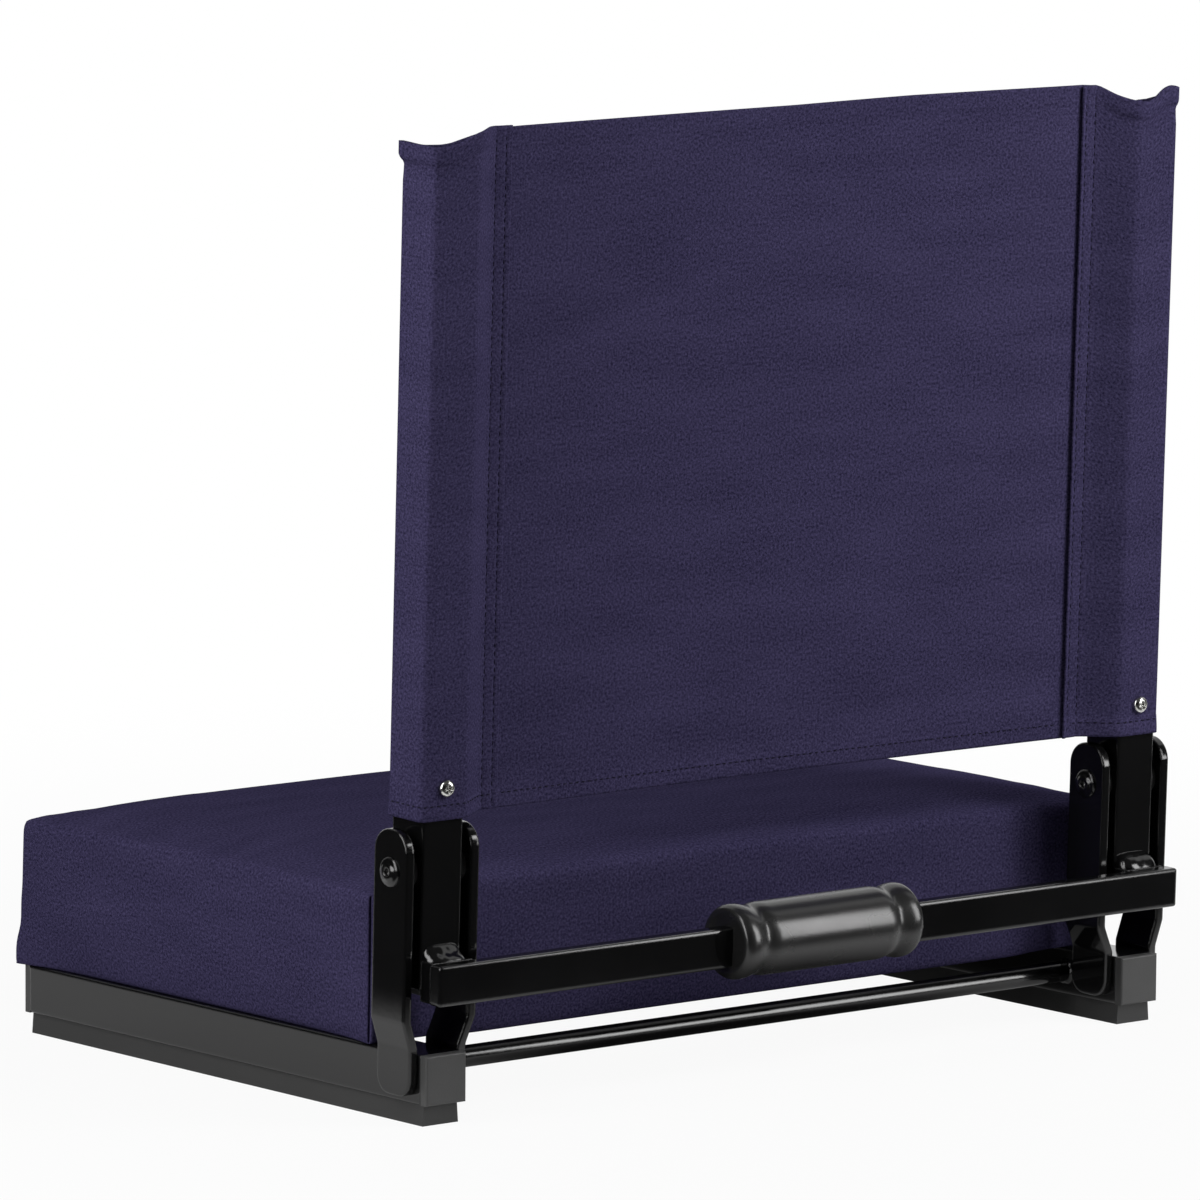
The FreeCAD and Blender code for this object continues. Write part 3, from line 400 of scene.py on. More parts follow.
# %% [markdown]
# The foam presses the cover out everywhere at once. Blender's cloth does that with its pressure: the cover is
# cloth, its underside is held to the board, and twenty steps without gravity let it swell. The simulation alone
# would draw the corners in and make a pillow of it. Foam is stiffer than air, so only the outward part of each
# point's way is kept, and it is limited softly, which leaves the cushion its size.

# %% Fill the cushion
def read_points(mesh, what="co"):
    """The places of a mesh's vertices, or their normals, as an array."""
    values = np.empty(len(mesh.vertices) * 3)
    mesh.vertices.foreach_get(what, values)
    return values.reshape(-1, 3)


def swell(piece, held, pressure, furthest):
    """Run cloth under pressure for twenty steps with the held points fixed, then move every point along its own
    normal: the furthest distance times the hyperbolic tangent of its way over that distance, and a third of that
    at most inwards."""
    start, facing = read_points(piece.data), read_points(piece.data, "normal")
    group = piece.vertex_groups.new(name="held")
    group.add(held.tolist(), 1.0, "REPLACE")
    cloth = piece.modifiers.new("cover", "CLOTH")
    cloth.settings.quality, cloth.settings.mass = 6, 0.3
    cloth.settings.tension_stiffness = cloth.settings.compression_stiffness = 20
    cloth.settings.shear_stiffness, cloth.settings.bending_stiffness = 8, 0.6
    cloth.settings.vertex_group_mass = group.name
    cloth.settings.use_pressure, cloth.settings.uniform_pressure_force = True, pressure
    cloth.settings.effector_weights.gravity = 0
    for step in range(1, 21):
        bpy.context.scene.frame_set(step)
    shaped = piece.evaluated_get(bpy.context.evaluated_depsgraph_get())
    move = read_points(shaped.data) - start
    piece.modifiers.remove(cloth)
    piece.vertex_groups.remove(group)
    bpy.context.scene.frame_set(1)
    way = (move * facing).sum(1, keepdims=True)
    out = np.maximum(furthest * np.tanh(way / furthest), -furthest / 3)
    piece.data.vertices.foreach_set("co", (start + out * facing).ravel())
    piece.data.update()
    return way.max() / MM


PRESSURE, SWELL = 4.0, 0.8 * MM
underside = np.flatnonzero(seat_place[:, 2] == 0)
way = swell(cushion, underside, PRESSURE, SWELL)
print("cover swelled by up to", round(float(way), 2), "mm before the limit")

# %% [markdown]
# The corner seams come last. The lattice still knows which points lie on the four upright edges, so those are
# sunk by almost three millimetres and their neighbours a little, which leaves a fine dark line and pinches each
# top corner.

# %% Sink the corner seams and lay the weave
def face_corners(mesh):
    """The number of the vertex at every corner of every face."""
    corner = np.empty(len(mesh.loops), int)
    mesh.loops.foreach_get("vertex_index", corner)
    return corner


def lay_weave(mesh):
    """Weave coordinates in metres for every face corner: the two coordinates across the way the face looks."""
    normals = np.empty(len(mesh.polygons) * 3)
    mesh.polygons.foreach_get("normal", normals)
    looks = np.repeat(np.abs(normals.reshape(-1, 3)).argmax(1), 4)
    at = read_points(mesh)[face_corners(mesh)]
    flat = np.stack([np.where(looks == 0, at[:, 1], at[:, 0]), np.where(looks == 2, at[:, 1], at[:, 2])], -1)
    mesh.uv_layers.new(name="weave").data.foreach_set("uv", flat.ravel())


last = np.array([len(line) - 1 for line in lattice])
from_edge = np.minimum(seat_place, last - seat_place)
inward = np.where(seat_place[:, :2] * 2 < last[:2], 1.0, -1.0) / math.sqrt(2)
on_wall = seat_place[:, 2] > 0
SEAM_DEPTH, BESIDE_SEAM = 2.8, 0.5
steps_off = from_edge[:, :2].sum(1)
depth = np.select([steps_off == 0, steps_off == 1], [SEAM_DEPTH, BESIDE_SEAM], 0.0) * on_wall
cover = read_points(cushion.data)
cover[:, :2] += inward * depth[:, None] * MM
cushion.data.vertices.foreach_set("co", cover.ravel())
cushion.data.update()
lay_weave(cushion.data)
rounding = cushion.modifiers.new("rounding", "SUBSURF")
rounding.levels = rounding.render_levels = 1
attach(cushion, "base")
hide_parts("seat_cover", "seat_foam")
print("cushion, mm:", in_mm(cushion.dimensions))

# %% [markdown]
# ## Back cloth
# The back is one sheet. Its middle is stretched between the posts, and each end is carried round a post from the
# front and sewn down behind, so that it makes a sleeve. A plan line is drawn once, from one free edge round the
# post, across and round the other post, and every height repeats it. Averaging the line over a few millimetres
# rounds its corners as cloth rounds a tube. Blender's cloth could drape it, but a tight sheet hardly sags.

# %% Plan line of the back cloth
def distance_along(points):
    """How far along a line of points each one lies from the first."""
    return np.concatenate([[0], np.cumsum(np.linalg.norm(np.diff(points, axis=0), axis=1))])


def points_at(distances, along, points):
    """The places on a line of points at the given distances along it."""
    return np.stack([np.interp(distances, along, column) for column in points.T], -1)


CLOTH_STEP = 0.25
LEAN = math.radians(1.6)
PIVOT = np.array([0, 121.22, 112.2])
POST_X, PANEL_HALF = 204.3, 177.0
half_plan = np.array([(166.2, 1.0), (169.2, 1.0), (176.0, 0.9), (179.0, 2.2), (192.8, 11.8), (217.0, 11.8),
                      (217.0, -12.0), (192.8, -12.0), (PANEL_HALF, 0.0), (0.0, 0.0)])
# the right sleeve is a little narrower than the left one, and its free edge stands off the panel
other_half = half_plan[-2::-1] * [-1, 1]
other_half[other_half[:, 0] < -216] += [0.9, 0]
other_half[-1] += [0, 1.4]
plan = np.concatenate([half_plan, other_half])
runs = distance_along(plan)
dense = np.arange(0, runs[-1], CLOTH_STEP)
line = points_at(dense, runs, plan)
window = np.hanning(27)[1:-1]
padded_line = np.pad(line, ((len(window) // 2,) * 2, (0, 0)), "edge")
line = np.stack([np.convolve(column, window / window.sum(), "valid") for column in padded_line.T], -1)
along = distance_along(line)
tangent = np.gradient(line, along, axis=0)
outward = unit(np.stack([-tangent[:, 1], tangent[:, 0]], -1))
CLOTH_WIDTH = along[-1]
print("cloth width along the plan line:", round(CLOTH_WIDTH, 1), "mm")

# %% [markdown]
# The upper edge isn't level: it falls over the sleeves and one corner stands up, each side in its own way.
# Heights are given at a few places along the plan line and joined smoothly. Both edges are turned over into a
# hem that stands a little off the posts.

# %% Height, hems and slackness of the back cloth
left_front = np.interp(runs[6], dense, along)
left_top = np.array([(0, 323.6), (10, 323.8), (21, 323.9), (30, 323.3), (34, 321.8), (41, 318.9), (48, 317.8),
                     (54, 317.6), (66, 318.0), (77, 318.3), (88, 315.5), (100, 315.0), (110, 319.0), (120, 322.6),
                     (134, 322.9)])
right_top = np.array([(0, 323.5), (9, 323.9), (14, 321.7), (18, 319.5), (25, 317.4), (29, 316.6), (35, 315.9),
                      (38.5, 318.2), (41, 320.7), (44, 322.4), (49, 323.3), (52, 321.8), (64, 317.0), (76, 313.5),
                      (88, 312.5), (100, 315.0), (112, 322.0), (124, 324.0)])
middle_top = np.array([(CLOTH_WIDTH / 2, 323.0), (CLOTH_WIDTH / 2 + 70, 324.0)])
edge_s = np.concatenate([left_top[:, 0], middle_top[:, 0], CLOTH_WIDTH - right_top[::-1, 0]])
edge_z = np.concatenate([left_top[:, 1], middle_top[:, 1], right_top[::-1, 1]])
FOOT_Z, TOP_Z, HEM = 22.8, 324.2, 8.0
SEAM_ROWS = (3.0, 8.8)
HEM_FLARE, CORNER_FLARE, FOOT_FLARE, HEM_TUCK = 0.9, 1.4, 0.4, 0.5
HOLLOW, LOW_WAVE, LONG_WAVE, PULL, GROOVE = 5.0, 0.45, 0.25, 0.22, 0.30


def top_height(s):
    """Height of the upper edge: straight runs between the given places, averaged over nearby places."""
    near = np.linspace(-2.5, 2.5, 7)
    return np.mean([np.interp(s + shift, edge_s, edge_z) for shift in near], axis=0)


def stand_up(x, y, z):
    """The back's own upright frame to the seat's: turned back by the lean about the pivot line, in metres."""
    return np.stack([x + PIVOT[0], PIVOT[1] + y * math.cos(LEAN) + z * math.sin(LEAN),
                     PIVOT[2] + z * math.cos(LEAN) - y * math.sin(LEAN)], -1) * MM


def back_cloth_at(s, t, lift=0.0):
    """Point of the sheet at s along the plan line and t from foot to top, lifted off it along its normal. To the
    plan line are added: a hem flare over the sleeves, widest at the left front corner, a shallow hollow across the
    panel, a groove and small pulls along each seam and long faint waves near the panel's foot."""
    s, t = np.broadcast_arrays(np.asarray(s, float), np.asarray(t, float))
    x, y = (np.interp(s, along, column) for column in line.T)
    nx, ny = (np.interp(s, along, column) for column in outward.T)
    top = top_height(s)
    z = FOOT_Z + (top - FOOT_Z) * t
    from_end = np.minimum(s, CLOTH_WIDTH - s)
    sleeve = smooth_step(from_end, 12, 24) * (1 - smooth_step(from_end, 102, 114))
    upper = HEM_FLARE + CORNER_FLARE * np.exp(-((s - left_front) / 8) ** 2)
    flare = upper * smooth_step(z, top - HEM - 1.5, top - HEM + 2.5) + FOOT_FLARE * (1 - smooth_step(z, 24, 32))
    tuck = -HEM_TUCK * np.exp(-((z - top + HEM + 3.0) / 3.0) ** 2)
    lift = lift + sleeve * (flare + tuck)
    panel = smooth_step(from_end, 116, 150)
    hollow = HOLLOW * (1 - np.clip(np.abs(x) / PANEL_HALF, 0, 1) ** 2) ** 1.5
    low = np.exp(-((z - 45) / 28) ** 2)
    waves = (LOW_WAVE * low * np.sin(z / 5.2 + x / 120 + 0.8 * np.sin(x / 61))
             + LONG_WAVE * np.sin(x / 37 + z / 95))
    pull = PULL * np.sin(z / 1.45 + 0.6 * np.sin(z / 9)) * np.exp(-((from_end - 7) / 5) ** 2)
    grooves = sum(-GROOVE * np.exp(-((from_end - row) / 0.7) ** 2) for row in SEAM_ROWS)
    y = y - panel * (hollow * (0.6 + 0.4 * t) + waves)
    lift = lift + pull + grooves
    return stand_up(x + nx * lift, y + ny * lift, z)


upper_edge = top_height(edge_s)
print("upper edge from", upper_edge.min().round(1), "to", upper_edge.max().round(1), "mm")

# %% [markdown]
# The sheet is a grid over s and t, finest at the free edges, where the seams are, and finer round the posts and
# at the hems than in the panel. Solidify gives it the thickness of the canvas, and more in the hems, where the
# cloth is folded over and pressed flat.

# %% Back cloth
CANVAS, HEM_CANVAS = 0.7, 1.0
wrap = np.concatenate([np.arange(0, 12, 0.5), np.arange(12, 122, 1.7),
                       np.linspace(122, CLOTH_WIDTH / 2, 36)])
columns = np.concatenate([wrap, CLOTH_WIDTH - wrap[-2::-1]])
hem_share = HEM / (TOP_Z - FOOT_Z)
hem_rows = np.concatenate([np.linspace(0, hem_share, 8), [hem_share * 1.06]])
rows = np.concatenate([hem_rows, np.linspace(hem_share * 1.25, 1 - hem_share * 1.25, 80), 1 - hem_rows[::-1]])
grid_t, grid_s = np.meshgrid(rows, columns, indexing="ij")
back_cloth = new_mesh("back_sheet", back_cloth_at(grid_s, grid_t).reshape(-1, 3),
                      [grid_faces(len(rows), len(columns))[:, ::-1]], canvas)
hemmed = np.flatnonzero((np.minimum(grid_t, 1 - grid_t) <= hem_share * 1.001).ravel())
back_cloth.vertex_groups.new(name="hem").add(hemmed.tolist(), 1.0, "REPLACE")
laid = np.stack([grid_s, FOOT_Z + grid_t * (TOP_Z - FOOT_Z)], -1).reshape(-1, 2) * MM
back_cloth.data.uv_layers.new(name="weave").data.foreach_set("uv", laid[face_corners(back_cloth.data)].ravel())
wall = back_cloth.modifiers.new("canvas", "SOLIDIFY")
wall.thickness, wall.offset, wall.use_even_offset = HEM_CANVAS * MM, 0, False
wall.vertex_group, wall.thickness_vertex_group = "hem", CANVAS / HEM_CANVAS
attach(back_cloth, "back")
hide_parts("back_cloth")
print("back cloth", len(rows), "by", len(columns), "points")

# %% [markdown]
# ## Sewing thread
# Two lines of stitches hold each sleeve's free edge to the panel, and one line holds the lower hem. A stitch is
# a short length of twisted thread that dips into the cloth at both ends. There are about nine hundred of them,
# so each is a bead of a few dozen faces, all worked out at once from the place and the direction of its stitch.

# %% Polyester sewing thread
thread, tree = new_finish("sewing_thread_with_painted_shade")
# the twist of the two plies, 0.8 mm long, drawn as fine bands across the stitches
twist = add_node(tree, "ShaderNodeTexWave", {"Vector": on_object(tree), "Distortion": 1.0,
                 "Scale": 2 * math.pi / (20 * 0.8 * MM)}, bands_direction="DIAGONAL").outputs["Fac"]
# the thread's own dark navy is darkened well below the cloth's, as painted shade for the shadowed needle holes
# along each seam
coat(tree, {"Base Color": two_tone(tree, twist, "#110F1E", "#1E1B2E"), "Roughness": 0.75, "IOR": 1.5,
            "Specular IOR Level": 0.1, "Normal": relief(tree, twist, 0.4, 0.1 * MM)})


def stitches_along(path_points, path_normals, stitch, gap):
    """Middles, directions and normals of stitches laid end to end along a line of points, a gap apart."""
    runs = distance_along(path_points)
    starts = np.arange(gap, runs[-1] - stitch - gap, stitch + gap)
    first, last = (points_at(at, runs, path_points) for at in (starts, starts + stitch))
    return np.stack([(first + last) / 2, last - first, points_at(starts + stitch / 2, runs, path_normals)], 1)


def closed_tube(rings, sides):
    """Faces of a tube of rings: quads between the rings, and triangles from a point to the first and to the last
    ring. The two points are numbered after all the rings."""
    around = np.arange(sides)
    onward, last = (around + 1) % sides, (rings - 1) * sides
    start = np.stack([np.full(sides, rings * sides), onward, around], -1)
    finish = np.stack([np.full(sides, rings * sides + 1), last + around, last + onward], -1)
    return [grid_faces(rings, sides, closed=True), start, finish]


def bead_stitches(frames, radius, sides=5, rings=5):
    """Every stitch as a tube of rings round its direction: the radius swells as the square root of a sine and the
    middle line dips at both ends, and a point closes each end."""
    middle, step, normal = frames[:, 0], frames[:, 1], frames[:, 2]
    side = unit(np.cross(step, normal))
    normal = unit(np.cross(side, step))
    share = np.linspace(0.08, 0.92, rings)
    turn = np.arange(sides) * 2 * np.pi / sides
    thick = radius * np.sqrt(np.sin(np.pi * share))
    dip = -radius * 0.8 * (2 * share - 1) ** 4
    ring = (middle[:, None] + (share - 0.5)[:, None] * step[:, None] + dip[:, None] * normal[:, None])[:, :, None]
    round_it = (np.cos(turn)[:, None] * side[:, None, None] + np.sin(turn)[:, None] * normal[:, None, None])
    tube = (ring + thick[:, None, None] * round_it).reshape(len(frames), -1, 3)
    tips = np.stack([middle + sign * 0.5 * step - radius * normal for sign in (-1, 1)], 1)
    points = np.concatenate([tube, tips], 1)
    shift = (np.arange(len(frames)) * points.shape[1])[:, None, None]
    groups = [(faces + shift).reshape(-1, faces.shape[1]) for faces in closed_tube(rings, sides)]
    return points.reshape(-1, 3), groups


print(thread.name, len(tree.nodes), "nodes")

# %% [markdown]
# The seam lines run up the sheet at a fixed s, the hem lines run along it at a fixed distance from the edge. The
# normal for each line comes from the sheet itself, by lifting it a little and taking the difference.

# %% Stitch lines of the back
def line_on_cloth(s, t, face):
    """Points on one face of the sheet along a line and the normals there. Face is 1 for the outer side of the
    plan line and -1 for the inner side."""
    lower, upper = back_cloth_at(s, t, 0.0), back_cloth_at(s, t, 1.0)
    return lower, unit((upper - lower) * face)


STITCH, STITCH_GAP, THREAD_RADIUS = 2.7 * MM, 0.9 * MM, 0.36 * MM
SEAM_LIFT, HEM_LIFT = 0.40 * MM, 0.52 * MM
FRONT_ROWS = (170.2, 176.0)
front_half = np.flatnonzero((line[:, 1] < 3) & (along > 90) & (along < CLOTH_WIDTH / 2))
front_places = [along[front_half[np.abs(line[front_half, 0] - x).argmin()]] for x in FRONT_ROWS]
up_the_cloth = np.linspace(0.006, 0.994, 400)
seam_lines = []
for first in (*SEAM_ROWS, *front_places):
    for s in (first, CLOTH_WIDTH - first):
        points, normals = line_on_cloth(np.full(len(up_the_cloth), s), up_the_cloth, 1)
        seam_lines.append((points + normals * SEAM_LIFT, normals))
hem_up = (HEM - 1.4) / (TOP_Z - FOOT_Z)
around = np.linspace(3, CLOTH_WIDTH - 3, 1200)
middle = np.linspace(128, CLOTH_WIDTH - 128, 700)
for s, t, face in ((around, hem_up, 1), (middle, hem_up, -1)):
    points, normals = line_on_cloth(s, np.full(len(s), t), face)
    seam_lines.append((points + normals * HEM_LIFT, normals))
frames = np.concatenate([stitches_along(*row, STITCH, STITCH_GAP) for row in seam_lines])
stitch_points, stitch_faces = bead_stitches(frames, THREAD_RADIUS)
back_stitches = new_mesh("back_stitches", stitch_points, stitch_faces, thread)
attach(back_stitches, "back")
print(len(frames), "stitches on the back")

# %% [markdown]
# ## Black enamel
# Rails, plates, posts, bars, rods and rivets are mild steel under one coat of gloss black enamel. The enamel is
# smooth enough to mirror the room and has a faint orange peel, ripples about three millimetres across, that
# makes the reflections waver. A thin haze of dust and handling changes its gloss from place to place.

# %% Black enamel on steel
enamel, tree = new_finish("gloss_black_enamel")
place = on_object(tree)
peel, haze = noise(tree, place, 3.0 * MM, 1.0), noise(tree, place, 40 * MM, 4.0)
# thick paint rounds the cut edges of the plates and bars, by about a millimetre and a half
rounded = add_node(tree, "ShaderNodeBevel", {"Radius": 1.5 * MM}, samples=6).outputs["Normal"]
coat(tree, {"Base Color": two_tone(tree, haze, "#060606", "#0B0B0C"), "IOR": 1.5,
            "Roughness": carry(tree, haze, 0.07, 0.13, 0.3, 0.7),
            "Normal": relief(tree, peel, 0.12, 0.05 * MM, Normal=rounded)})
print(enamel.name, len(tree.nodes), "nodes")

# %% [markdown]
# ## Moulded plastic and rubber
# The end caps are injection-moulded polypropylene with a fine spark-eroded grain, dull and dark grey. The strips
# under the rails are extruded rubber: duller still, with drawing lines along their length.

# %% Moulded polypropylene
moulded, tree = new_finish("moulded_polypropylene")
place = on_object(tree)
# spark-eroded grain of about 0.15 mm, drawn at 0.7 mm so that it shows
grain, cloud = noise(tree, place, 0.7 * MM, 2.0), noise(tree, place, 14 * MM, 3.0)
coat(tree, {"Base Color": two_tone(tree, cloud, "#303030", "#3A3A3A"), "IOR": 1.49,
            "Roughness": carry(tree, grain, 0.40, 0.58), "Normal": relief(tree, grain, 0.5, 0.10 * MM)})
print(moulded.name, len(tree.nodes), "nodes")

# %% Extruded rubber
rubber, tree = new_finish("extruded_rubber")
place = on_object(tree)
drawn = add_node(tree, "ShaderNodeMapping", {"Vector": place, "Scale": (900, 12, 900)})
lines, bloom = noise(tree, drawn.outputs["Vector"], 1.0, 2.0), noise(tree, place, 18 * MM, 4.0)
coat(tree, {"Base Color": two_tone(tree, bloom, "#1C1C1C", "#262626"), "IOR": 1.52,
            "Roughness": carry(tree, bloom, 0.50, 0.70), "Normal": relief(tree, lines, 0.35, 0.08 * MM)})
print(rubber.name, len(tree.nodes), "nodes")

# %% Soft PVC of the grip
soft_pvc, tree = new_finish("moulded_soft_pvc")
place = on_object(tree)
satin, handled = noise(tree, place, 0.6 * MM, 2.0), noise(tree, place, 22 * MM, 3.0)
coat(tree, {"Base Color": two_tone(tree, handled, "#171717", "#202020"), "IOR": 1.53,
            "Roughness": carry(tree, handled, 0.22, 0.31), "Normal": relief(tree, satin, 0.25, 0.05 * MM)})
print(soft_pvc.name, len(tree.nodes), "nodes")

# %% [markdown]
# ## Small finishes
# The screws are zinc-plated steel, bright with a faint turned grain. The washers are black nylon. The dust cover
# under the board is spun-bonded polypropylene, pressed with a field of small dots. The board is plywood.

# %% Zinc plate, nylon, spun-bonded cloth, plywood
zinc, tree = new_finish("zinc_plated_steel")
plate = noise(tree, on_object(tree), 0.8 * MM, 3.0)
coat(tree, {"Base Color": two_tone(tree, plate, "#B4B4B2", "#DADAD6"), "Metallic": 1.0,
            "Roughness": carry(tree, plate, 0.14, 0.30)})

nylon, tree = new_finish("black_nylon")
mottle = noise(tree, on_object(tree), 2 * MM, 2.0)
coat(tree, {"Base Color": two_tone(tree, mottle, "#101010", "#1A1A1A"), "IOR": 1.53,
            "Roughness": carry(tree, mottle, 0.35, 0.5)})

spunbond, tree = new_finish("spun_bonded_polypropylene")
place = on_object(tree)
dots = add_node(tree, "ShaderNodeTexVoronoi", {"Vector": place, "Scale": 1 / (1.6 * MM)})
felt = noise(tree, place, 5 * MM, 5.0)
coat(tree, {"Base Color": two_tone(tree, felt, "#0F0F10", "#1C1C1E"), "Roughness": 0.8, "IOR": 1.49,
            "Normal": relief(tree, dots.outputs["Distance"], 0.6, 0.2 * MM)})

plywood, tree = new_finish("birch_plywood")
stretched = add_node(tree, "ShaderNodeMapping", {"Vector": on_object(tree), "Scale": (8, 250, 700)})
figure = noise(tree, stretched.outputs["Vector"], 1.0, 4.0)
coat(tree, {"Base Color": two_tone(tree, figure, "#B08D5E", "#D8BD8E"), "Roughness": 0.65, "IOR": 1.5,
            "Normal": relief(tree, figure, 0.3, 0.1 * MM)})
print("finishes:", sorted(material.name for material in bpy.data.materials if material.use_nodes))

# %% Finish the CAD nodes
kind_finish = {"cap": moulded, "strip": rubber, "plug": moulded, "bush": nylon, "washers": nylon, "screws": zinc,
               "grip": soft_pvc, "board": plywood, "dust": spunbond, "seat_cover": canvas, "seat_foam": canvas,
               "back_cloth": canvas}
for name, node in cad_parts.items():
    finish = next((made for word, made in kind_finish.items() if word in name), enamel)
    node.data.materials.clear()
    node.data.materials.append(finish)
print(len(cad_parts), "CAD nodes finished")

# %% [markdown]
# ## Grip
# The grip is soft PVC moulded round the crossbar: a straight body between two rounded collars, with a narrow
# neck beside each collar and a shallow dish where the bar goes in. On a lathe it would be one profile, so it is
# a profile turned about the grip's middle line, which lies a little above the bar's.

# %% Turned pieces
def turned(profile, centre, axis, sides):
    """A profile of (distance along the axis, radius) turned about the axis through centre, all in mm. The first
    and last points lie on the axis and close the ends. Returns points in metres and groups of faces."""
    axis = unit(np.asarray(axis, float))
    other = unit(np.cross(axis, [0, 0, 1.0] if abs(axis[2]) < 0.9 else [1.0, 0, 0]))
    third = np.cross(axis, other)
    turn = np.arange(sides) * 2 * np.pi / sides
    spoke = np.cos(turn)[:, None] * other + np.sin(turn)[:, None] * third
    rings = profile[1:-1, :1, None] * axis + profile[1:-1, 1, None, None] * spoke
    ends = profile[[0, -1], :1] * axis
    points = (np.concatenate([rings.reshape(-1, 3), ends]) + centre) * MM
    return points, closed_tube(len(profile) - 2, sides)


def soft_steps(along, stations, values, blur):
    """Values at stations joined by straight runs and averaged over a blur to each side, as a mould's radii are."""
    near = np.linspace(-blur, blur, 9)
    return np.mean([np.interp(along + shift, stations, values) for shift in near], axis=0)


GRIP_HALF = 52.25
grip_low, grip_high = (np.array(corner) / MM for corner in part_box("handle_grip"))
reach = np.linspace(-GRIP_HALF, GRIP_HALF, 181)
stations = np.array([0, 33.5, 36.5, 38.0, 40.0, 42.5, 45.5, 49.0, 51.2, 52.25])
radii = np.array([16.6, 16.6, 16.1, 15.5, 15.5, 16.2, 16.9, 17.0, 16.2, 14.6])
skin_radius = soft_steps(np.abs(reach), stations, radii, 1.2)
hollow = np.array([(-51.05, 0), (-51.05, 9.5), (-51.35, 11.0), (-52.05, 12.8), (-52.25, 13.6)])
grip_profile = np.concatenate([hollow, np.stack([reach, skin_radius], -1)[1:-1], hollow[::-1] * [-1, 1]])
grip_points, grip_faces = turned(grip_profile, (grip_low + grip_high) / 2, (1, 0, 0), 64)
grip = new_mesh("moulded_grip", grip_points, grip_faces, soft_pvc)
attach(grip, "back")
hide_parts("handle_grip")
print("grip, mm:", in_mm(grip.dimensions))

# %% [markdown]
# ## Rivets
# Each hinge turns on a steel rivet whose ends are spun over against the plates. The spinning leaves a low dome
# with a small hole at its centre. Both heads and the shank are one turned profile.

# %% Pivot rivets
RIVET_HALF = 20.4
head = np.array([(-0.3, 3.0), (-0.3, 6.5), (0.0, 6.7), (0.5, 6.6), (0.9, 6.2), (1.15, 5.6), (1.3, 5.0),
                 (1.5, 4.4), (1.8, 3.9), (2.1, 3.4), (2.25, 2.8), (2.25, 2.1), (2.1, 1.75), (1.6, 1.6),
                 (0.2, 1.55), (0.2, 0.0)])
for side, sign in (("left", 1), ("right", -1)):
    far = head + [RIVET_HALF, 0]
    profile = np.concatenate([far[::-1] * [-1, 1], far])
    points, faces = turned(profile, np.array([sign * POST_X, PIVOT[1], PIVOT[2]]), (1, 0, 0), 48)
    rivet = new_mesh(side + "_spun_rivet", points, faces, enamel)
    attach(rivet, "base")
    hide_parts(side + "_pivot_rivet")
print("rivet over both heads:", round(2 * (RIVET_HALF + head[:, 0].max()), 1), "mm")

# %% [markdown]
# ## Welds
# A weld bead is laid along the top of each spacer block against the post. A bead is a row of frozen ripples, so
# its cross-section swells and shrinks along the run. The left one has run out almost flat and the right one
# stands up as a round roll. Smaller beads ring the cross rods where they meet the rails.

# %% Weld beads on the spacers
WELD_LENGTH, WELD_HEIGHT, WELD_REACH, WELD_RIPPLE = 21.2, 6.4, 8.2, 0.015
POST_REAR, BLOCK_TOP, SUNK = 11.1, -38.6, 0.6


def bead_along(flatness, phase, middle_x):
    """A fillet bead in the back's upright frame. Across it runs an angle from the post's face down to the block,
    with the bead's skin at a radius that ripples along the length: a quarter round less flatness in the middle,
    with a small lip at the post. Its ends taper."""
    u, v = np.meshgrid(np.linspace(-1, 1, 61), np.linspace(0, 1, 15), indexing="ij")
    x = u * WELD_LENGTH / 2
    taper = np.sqrt(np.clip(1 - np.abs(u) ** 5, 0, 1)) * 0.92 + 0.08
    waver = (np.sin(x / 1.25 + phase + 0.9 * np.sin(x / 4.1)) * np.sin(x / 2.9 + 2 * phase)
             + np.sin(x / 3.7 + 2 * phase))
    size = taper * (1 + WELD_RIPPLE * waver * np.sin(np.pi * v))
    angle = v * np.pi / 2
    bulge = 1 - flatness * np.sin(2 * angle) + 0.05 * np.exp(-(angle / 0.3) ** 2)
    y = POST_REAR - SUNK + (WELD_REACH + SUNK) * size * np.sin(angle) * bulge
    z = BLOCK_TOP - SUNK + (WELD_HEIGHT + SUNK) * size * np.cos(angle) * bulge
    skin = stand_up(middle_x + x, y, z)
    edge = np.ones_like(x[:, :1])
    root = stand_up(middle_x + x[:, :1], edge * (POST_REAR - SUNK), edge * (BLOCK_TOP - SUNK))
    ring = np.concatenate([skin, root], 1)
    points = np.concatenate([ring.reshape(-1, 3), ring[[0, -1]].mean(1)])
    return points, closed_tube(*ring.shape[:2])


for side, sign, flatness, phase in (("left", 1, 0.27, 0.4), ("right", -1, 0.06, 1.9)):
    points, faces = bead_along(flatness, phase, sign * POST_X)
    bead = new_mesh(side + "_spacer_weld", points, faces, enamel)
    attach(bead, "back")
    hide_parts(side + "_weld_bead")
print("weld bead, mm:", in_mm(bead.dimensions))

# %% Weld rings on the cross rods
RAIL_FACE, ROD_RADIUS, RING_SIZE, RING_SUNK = 193.8, 4.9, 1.4, 0.4
TURNS, ACROSS = 72, 9


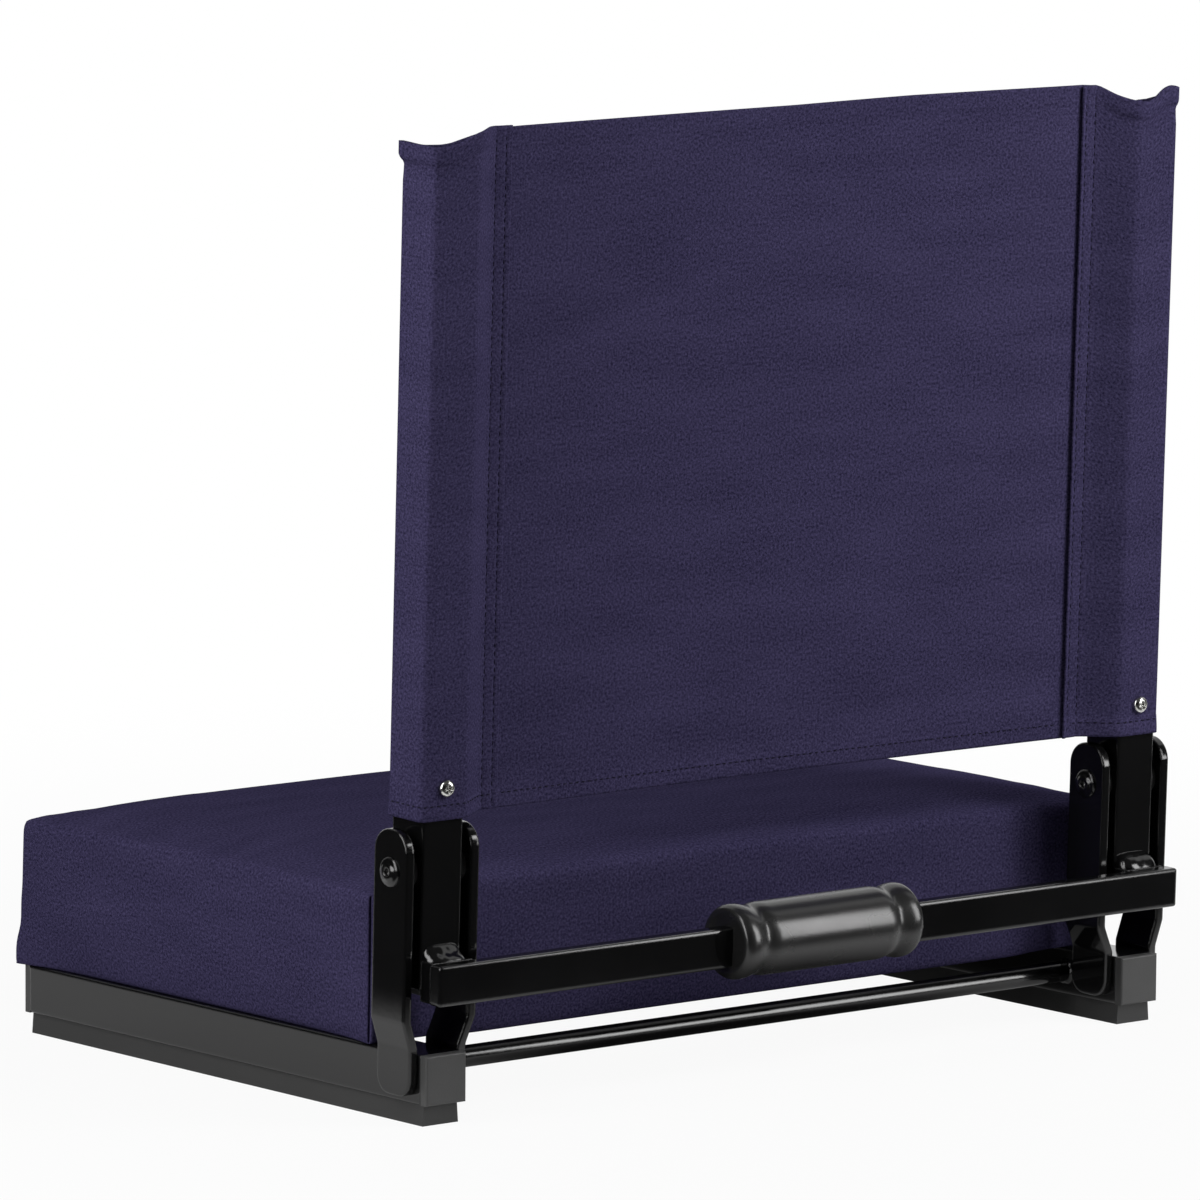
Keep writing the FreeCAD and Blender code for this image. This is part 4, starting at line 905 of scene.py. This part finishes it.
def ring_bead(centre, face_sign, phase):
    """A lumpy ring round a rod against a rail: a quarter-round section carried round the rod, rippling in size."""
    turn, v = np.meshgrid(np.arange(TURNS) * 2 * np.pi / TURNS, np.linspace(0, 1, ACROSS), indexing="ij")
    size = RING_SIZE * (1 + 0.35 * np.abs(np.sin(3.5 * turn + phase)) + 0.3 * np.sin(turn + phase))
    angle = v * np.pi / 2
    out = ROD_RADIUS - RING_SUNK + size * np.cos(angle)
    x = face_sign * (size * 1.1 * np.sin(angle) - RING_SUNK)
    points = np.stack([centre[0] - x, centre[1] + out * np.cos(turn), centre[2] + out * np.sin(turn)], -1)
    near, end = np.arange(ACROSS - 1), (TURNS - 1) * ACROSS
    wrap = np.stack([end + near, end + near + 1, near + 1, near], -1)
    return points.reshape(-1, 3) * MM, np.concatenate([grid_faces(TURNS, ACROSS), wrap])


ring_points, ring_faces, count = [], [], 0
for rod, phases in (("rear_cross_rod", (0.3, 2.1)), ("front_cross_rod", (1.1, 2.9))):
    low, high = (np.array(corner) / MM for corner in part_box(rod))
    middle = (low + high) / 2
    for sign, phase in zip((1, -1), phases):
        points, faces = ring_bead(np.array([sign * RAIL_FACE, middle[1], middle[2]]), sign, phase)
        ring_points.append(points)
        ring_faces.append((faces if sign < 0 else faces[:, ::-1]) + count)
        count += len(points)
rod_welds = new_mesh("rod_weld_rings", np.concatenate(ring_points), ring_faces, enamel)
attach(rod_welds, "base")
print("rod welds", len(rod_welds.data.polygons), "faces")

# %% [markdown]
# ## Sleeve screws
# A zinc-plated pan-head screw with a cross recess goes through each sleeve into its post. The head is a turned
# dome; the recess is pressed into the same grid by lowering it where it lies inside a cross with sloping walls.

# %% Sleeve screws
HEAD_RADIUS, HEAD_RISE, SCREW_Z, SLEEVE_FACE = 4.0, 2.45, 36.9, 12.3
ARM_LENGTH, ARM_HALF, RECESS = 1.9, 0.55, 1.2


def pan_head(middle_x):
    """A disc grid of radius and angle: the dome is flat-topped with a round shoulder, and a cross-shaped pocket
    with sloping walls is sunk into it. The rim goes straight down to the cloth and is closed below."""
    radius, turn = np.meshgrid(np.concatenate([np.linspace(0.05, 2.8, 22), np.linspace(2.95, HEAD_RADIUS, 9)]),
                               np.arange(96) * 2 * np.pi / 96, indexing="ij")
    across, upward = radius * np.cos(turn + 0.5), radius * np.sin(turn + 0.5)
    rise = HEAD_RISE * (1 - (radius / (HEAD_RADIUS + 0.01)) ** 4) ** 0.5
    arm = np.minimum(*(np.maximum(np.abs(far) / ARM_LENGTH, np.abs(near) / ARM_HALF)
                       for far, near in ((across, upward), (upward, across))))
    rise = rise - RECESS * smooth_step(-arm, -1.08, -0.72)
    foot = np.full_like(rise[-1:], -SUNK)
    skin = np.concatenate([np.stack([across, rise, upward], -1), np.stack([across[-1:], foot, upward[-1:]], -1)])
    points = np.concatenate([skin.reshape(-1, 3), [[0, rise[0].mean(), 0], [0, -SUNK, 0]]])
    placed = stand_up(middle_x + points[:, 0], SLEEVE_FACE + points[:, 1], SCREW_Z + points[:, 2])
    return placed, closed_tube(*skin.shape[:2])


left_head, right_head = (pan_head(sign * POST_X) for sign in (1, -1))
screw_heads = new_mesh("pan_head_screws", np.concatenate([left_head[0], right_head[0]]),
                       [*left_head[1], *(faces + len(left_head[0]) for faces in right_head[1])], zinc)
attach(screw_heads, "back")
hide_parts("sleeve_screws")
print("screw heads", len(screw_heads.data.polygons), "faces")

# %% [markdown]
# ## Dust cover
# A thin spun-bonded sheet closes the underside of the cushion. It is held at its edges, so it is a flat sheet
# with a few shallow waves, given its thickness by Solidify.

# %% Dust cover
DUST_Z, DUST_WAVE, DUST_THICK = 31.55, 0.25, 0.5
low, high = (np.array(corner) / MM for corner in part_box("dust_cover"))
dust_x, dust_y = np.meshgrid(np.linspace(low[0], high[0], 61), np.linspace(low[1], high[1], 31), indexing="ij")
side_x, side_y = ((dust - low[axis]) / (high[axis] - low[axis]) * 2 - 1
                  for axis, dust in enumerate((dust_x, dust_y)))
edge = (1 - side_x ** 8) * (1 - side_y ** 8)
waves = 1 + 0.6 * np.sin(dust_x / 21 + dust_y / 33) + 0.4 * np.sin(dust_y / 17)
dust_z = DUST_Z - DUST_WAVE * edge * waves
dust_sheet = new_mesh("dust_sheet", np.stack([dust_x, dust_y, dust_z], -1).reshape(-1, 3) * MM,
                      [grid_faces(*dust_x.shape)], spunbond)
dust_wall = dust_sheet.modifiers.new("sheet", "SOLIDIFY")
dust_wall.thickness, dust_wall.offset = DUST_THICK * MM, 0
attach(dust_sheet, "base")
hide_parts("dust_cover")
print("dust sheet, mm:", in_mm(dust_sheet.dimensions))
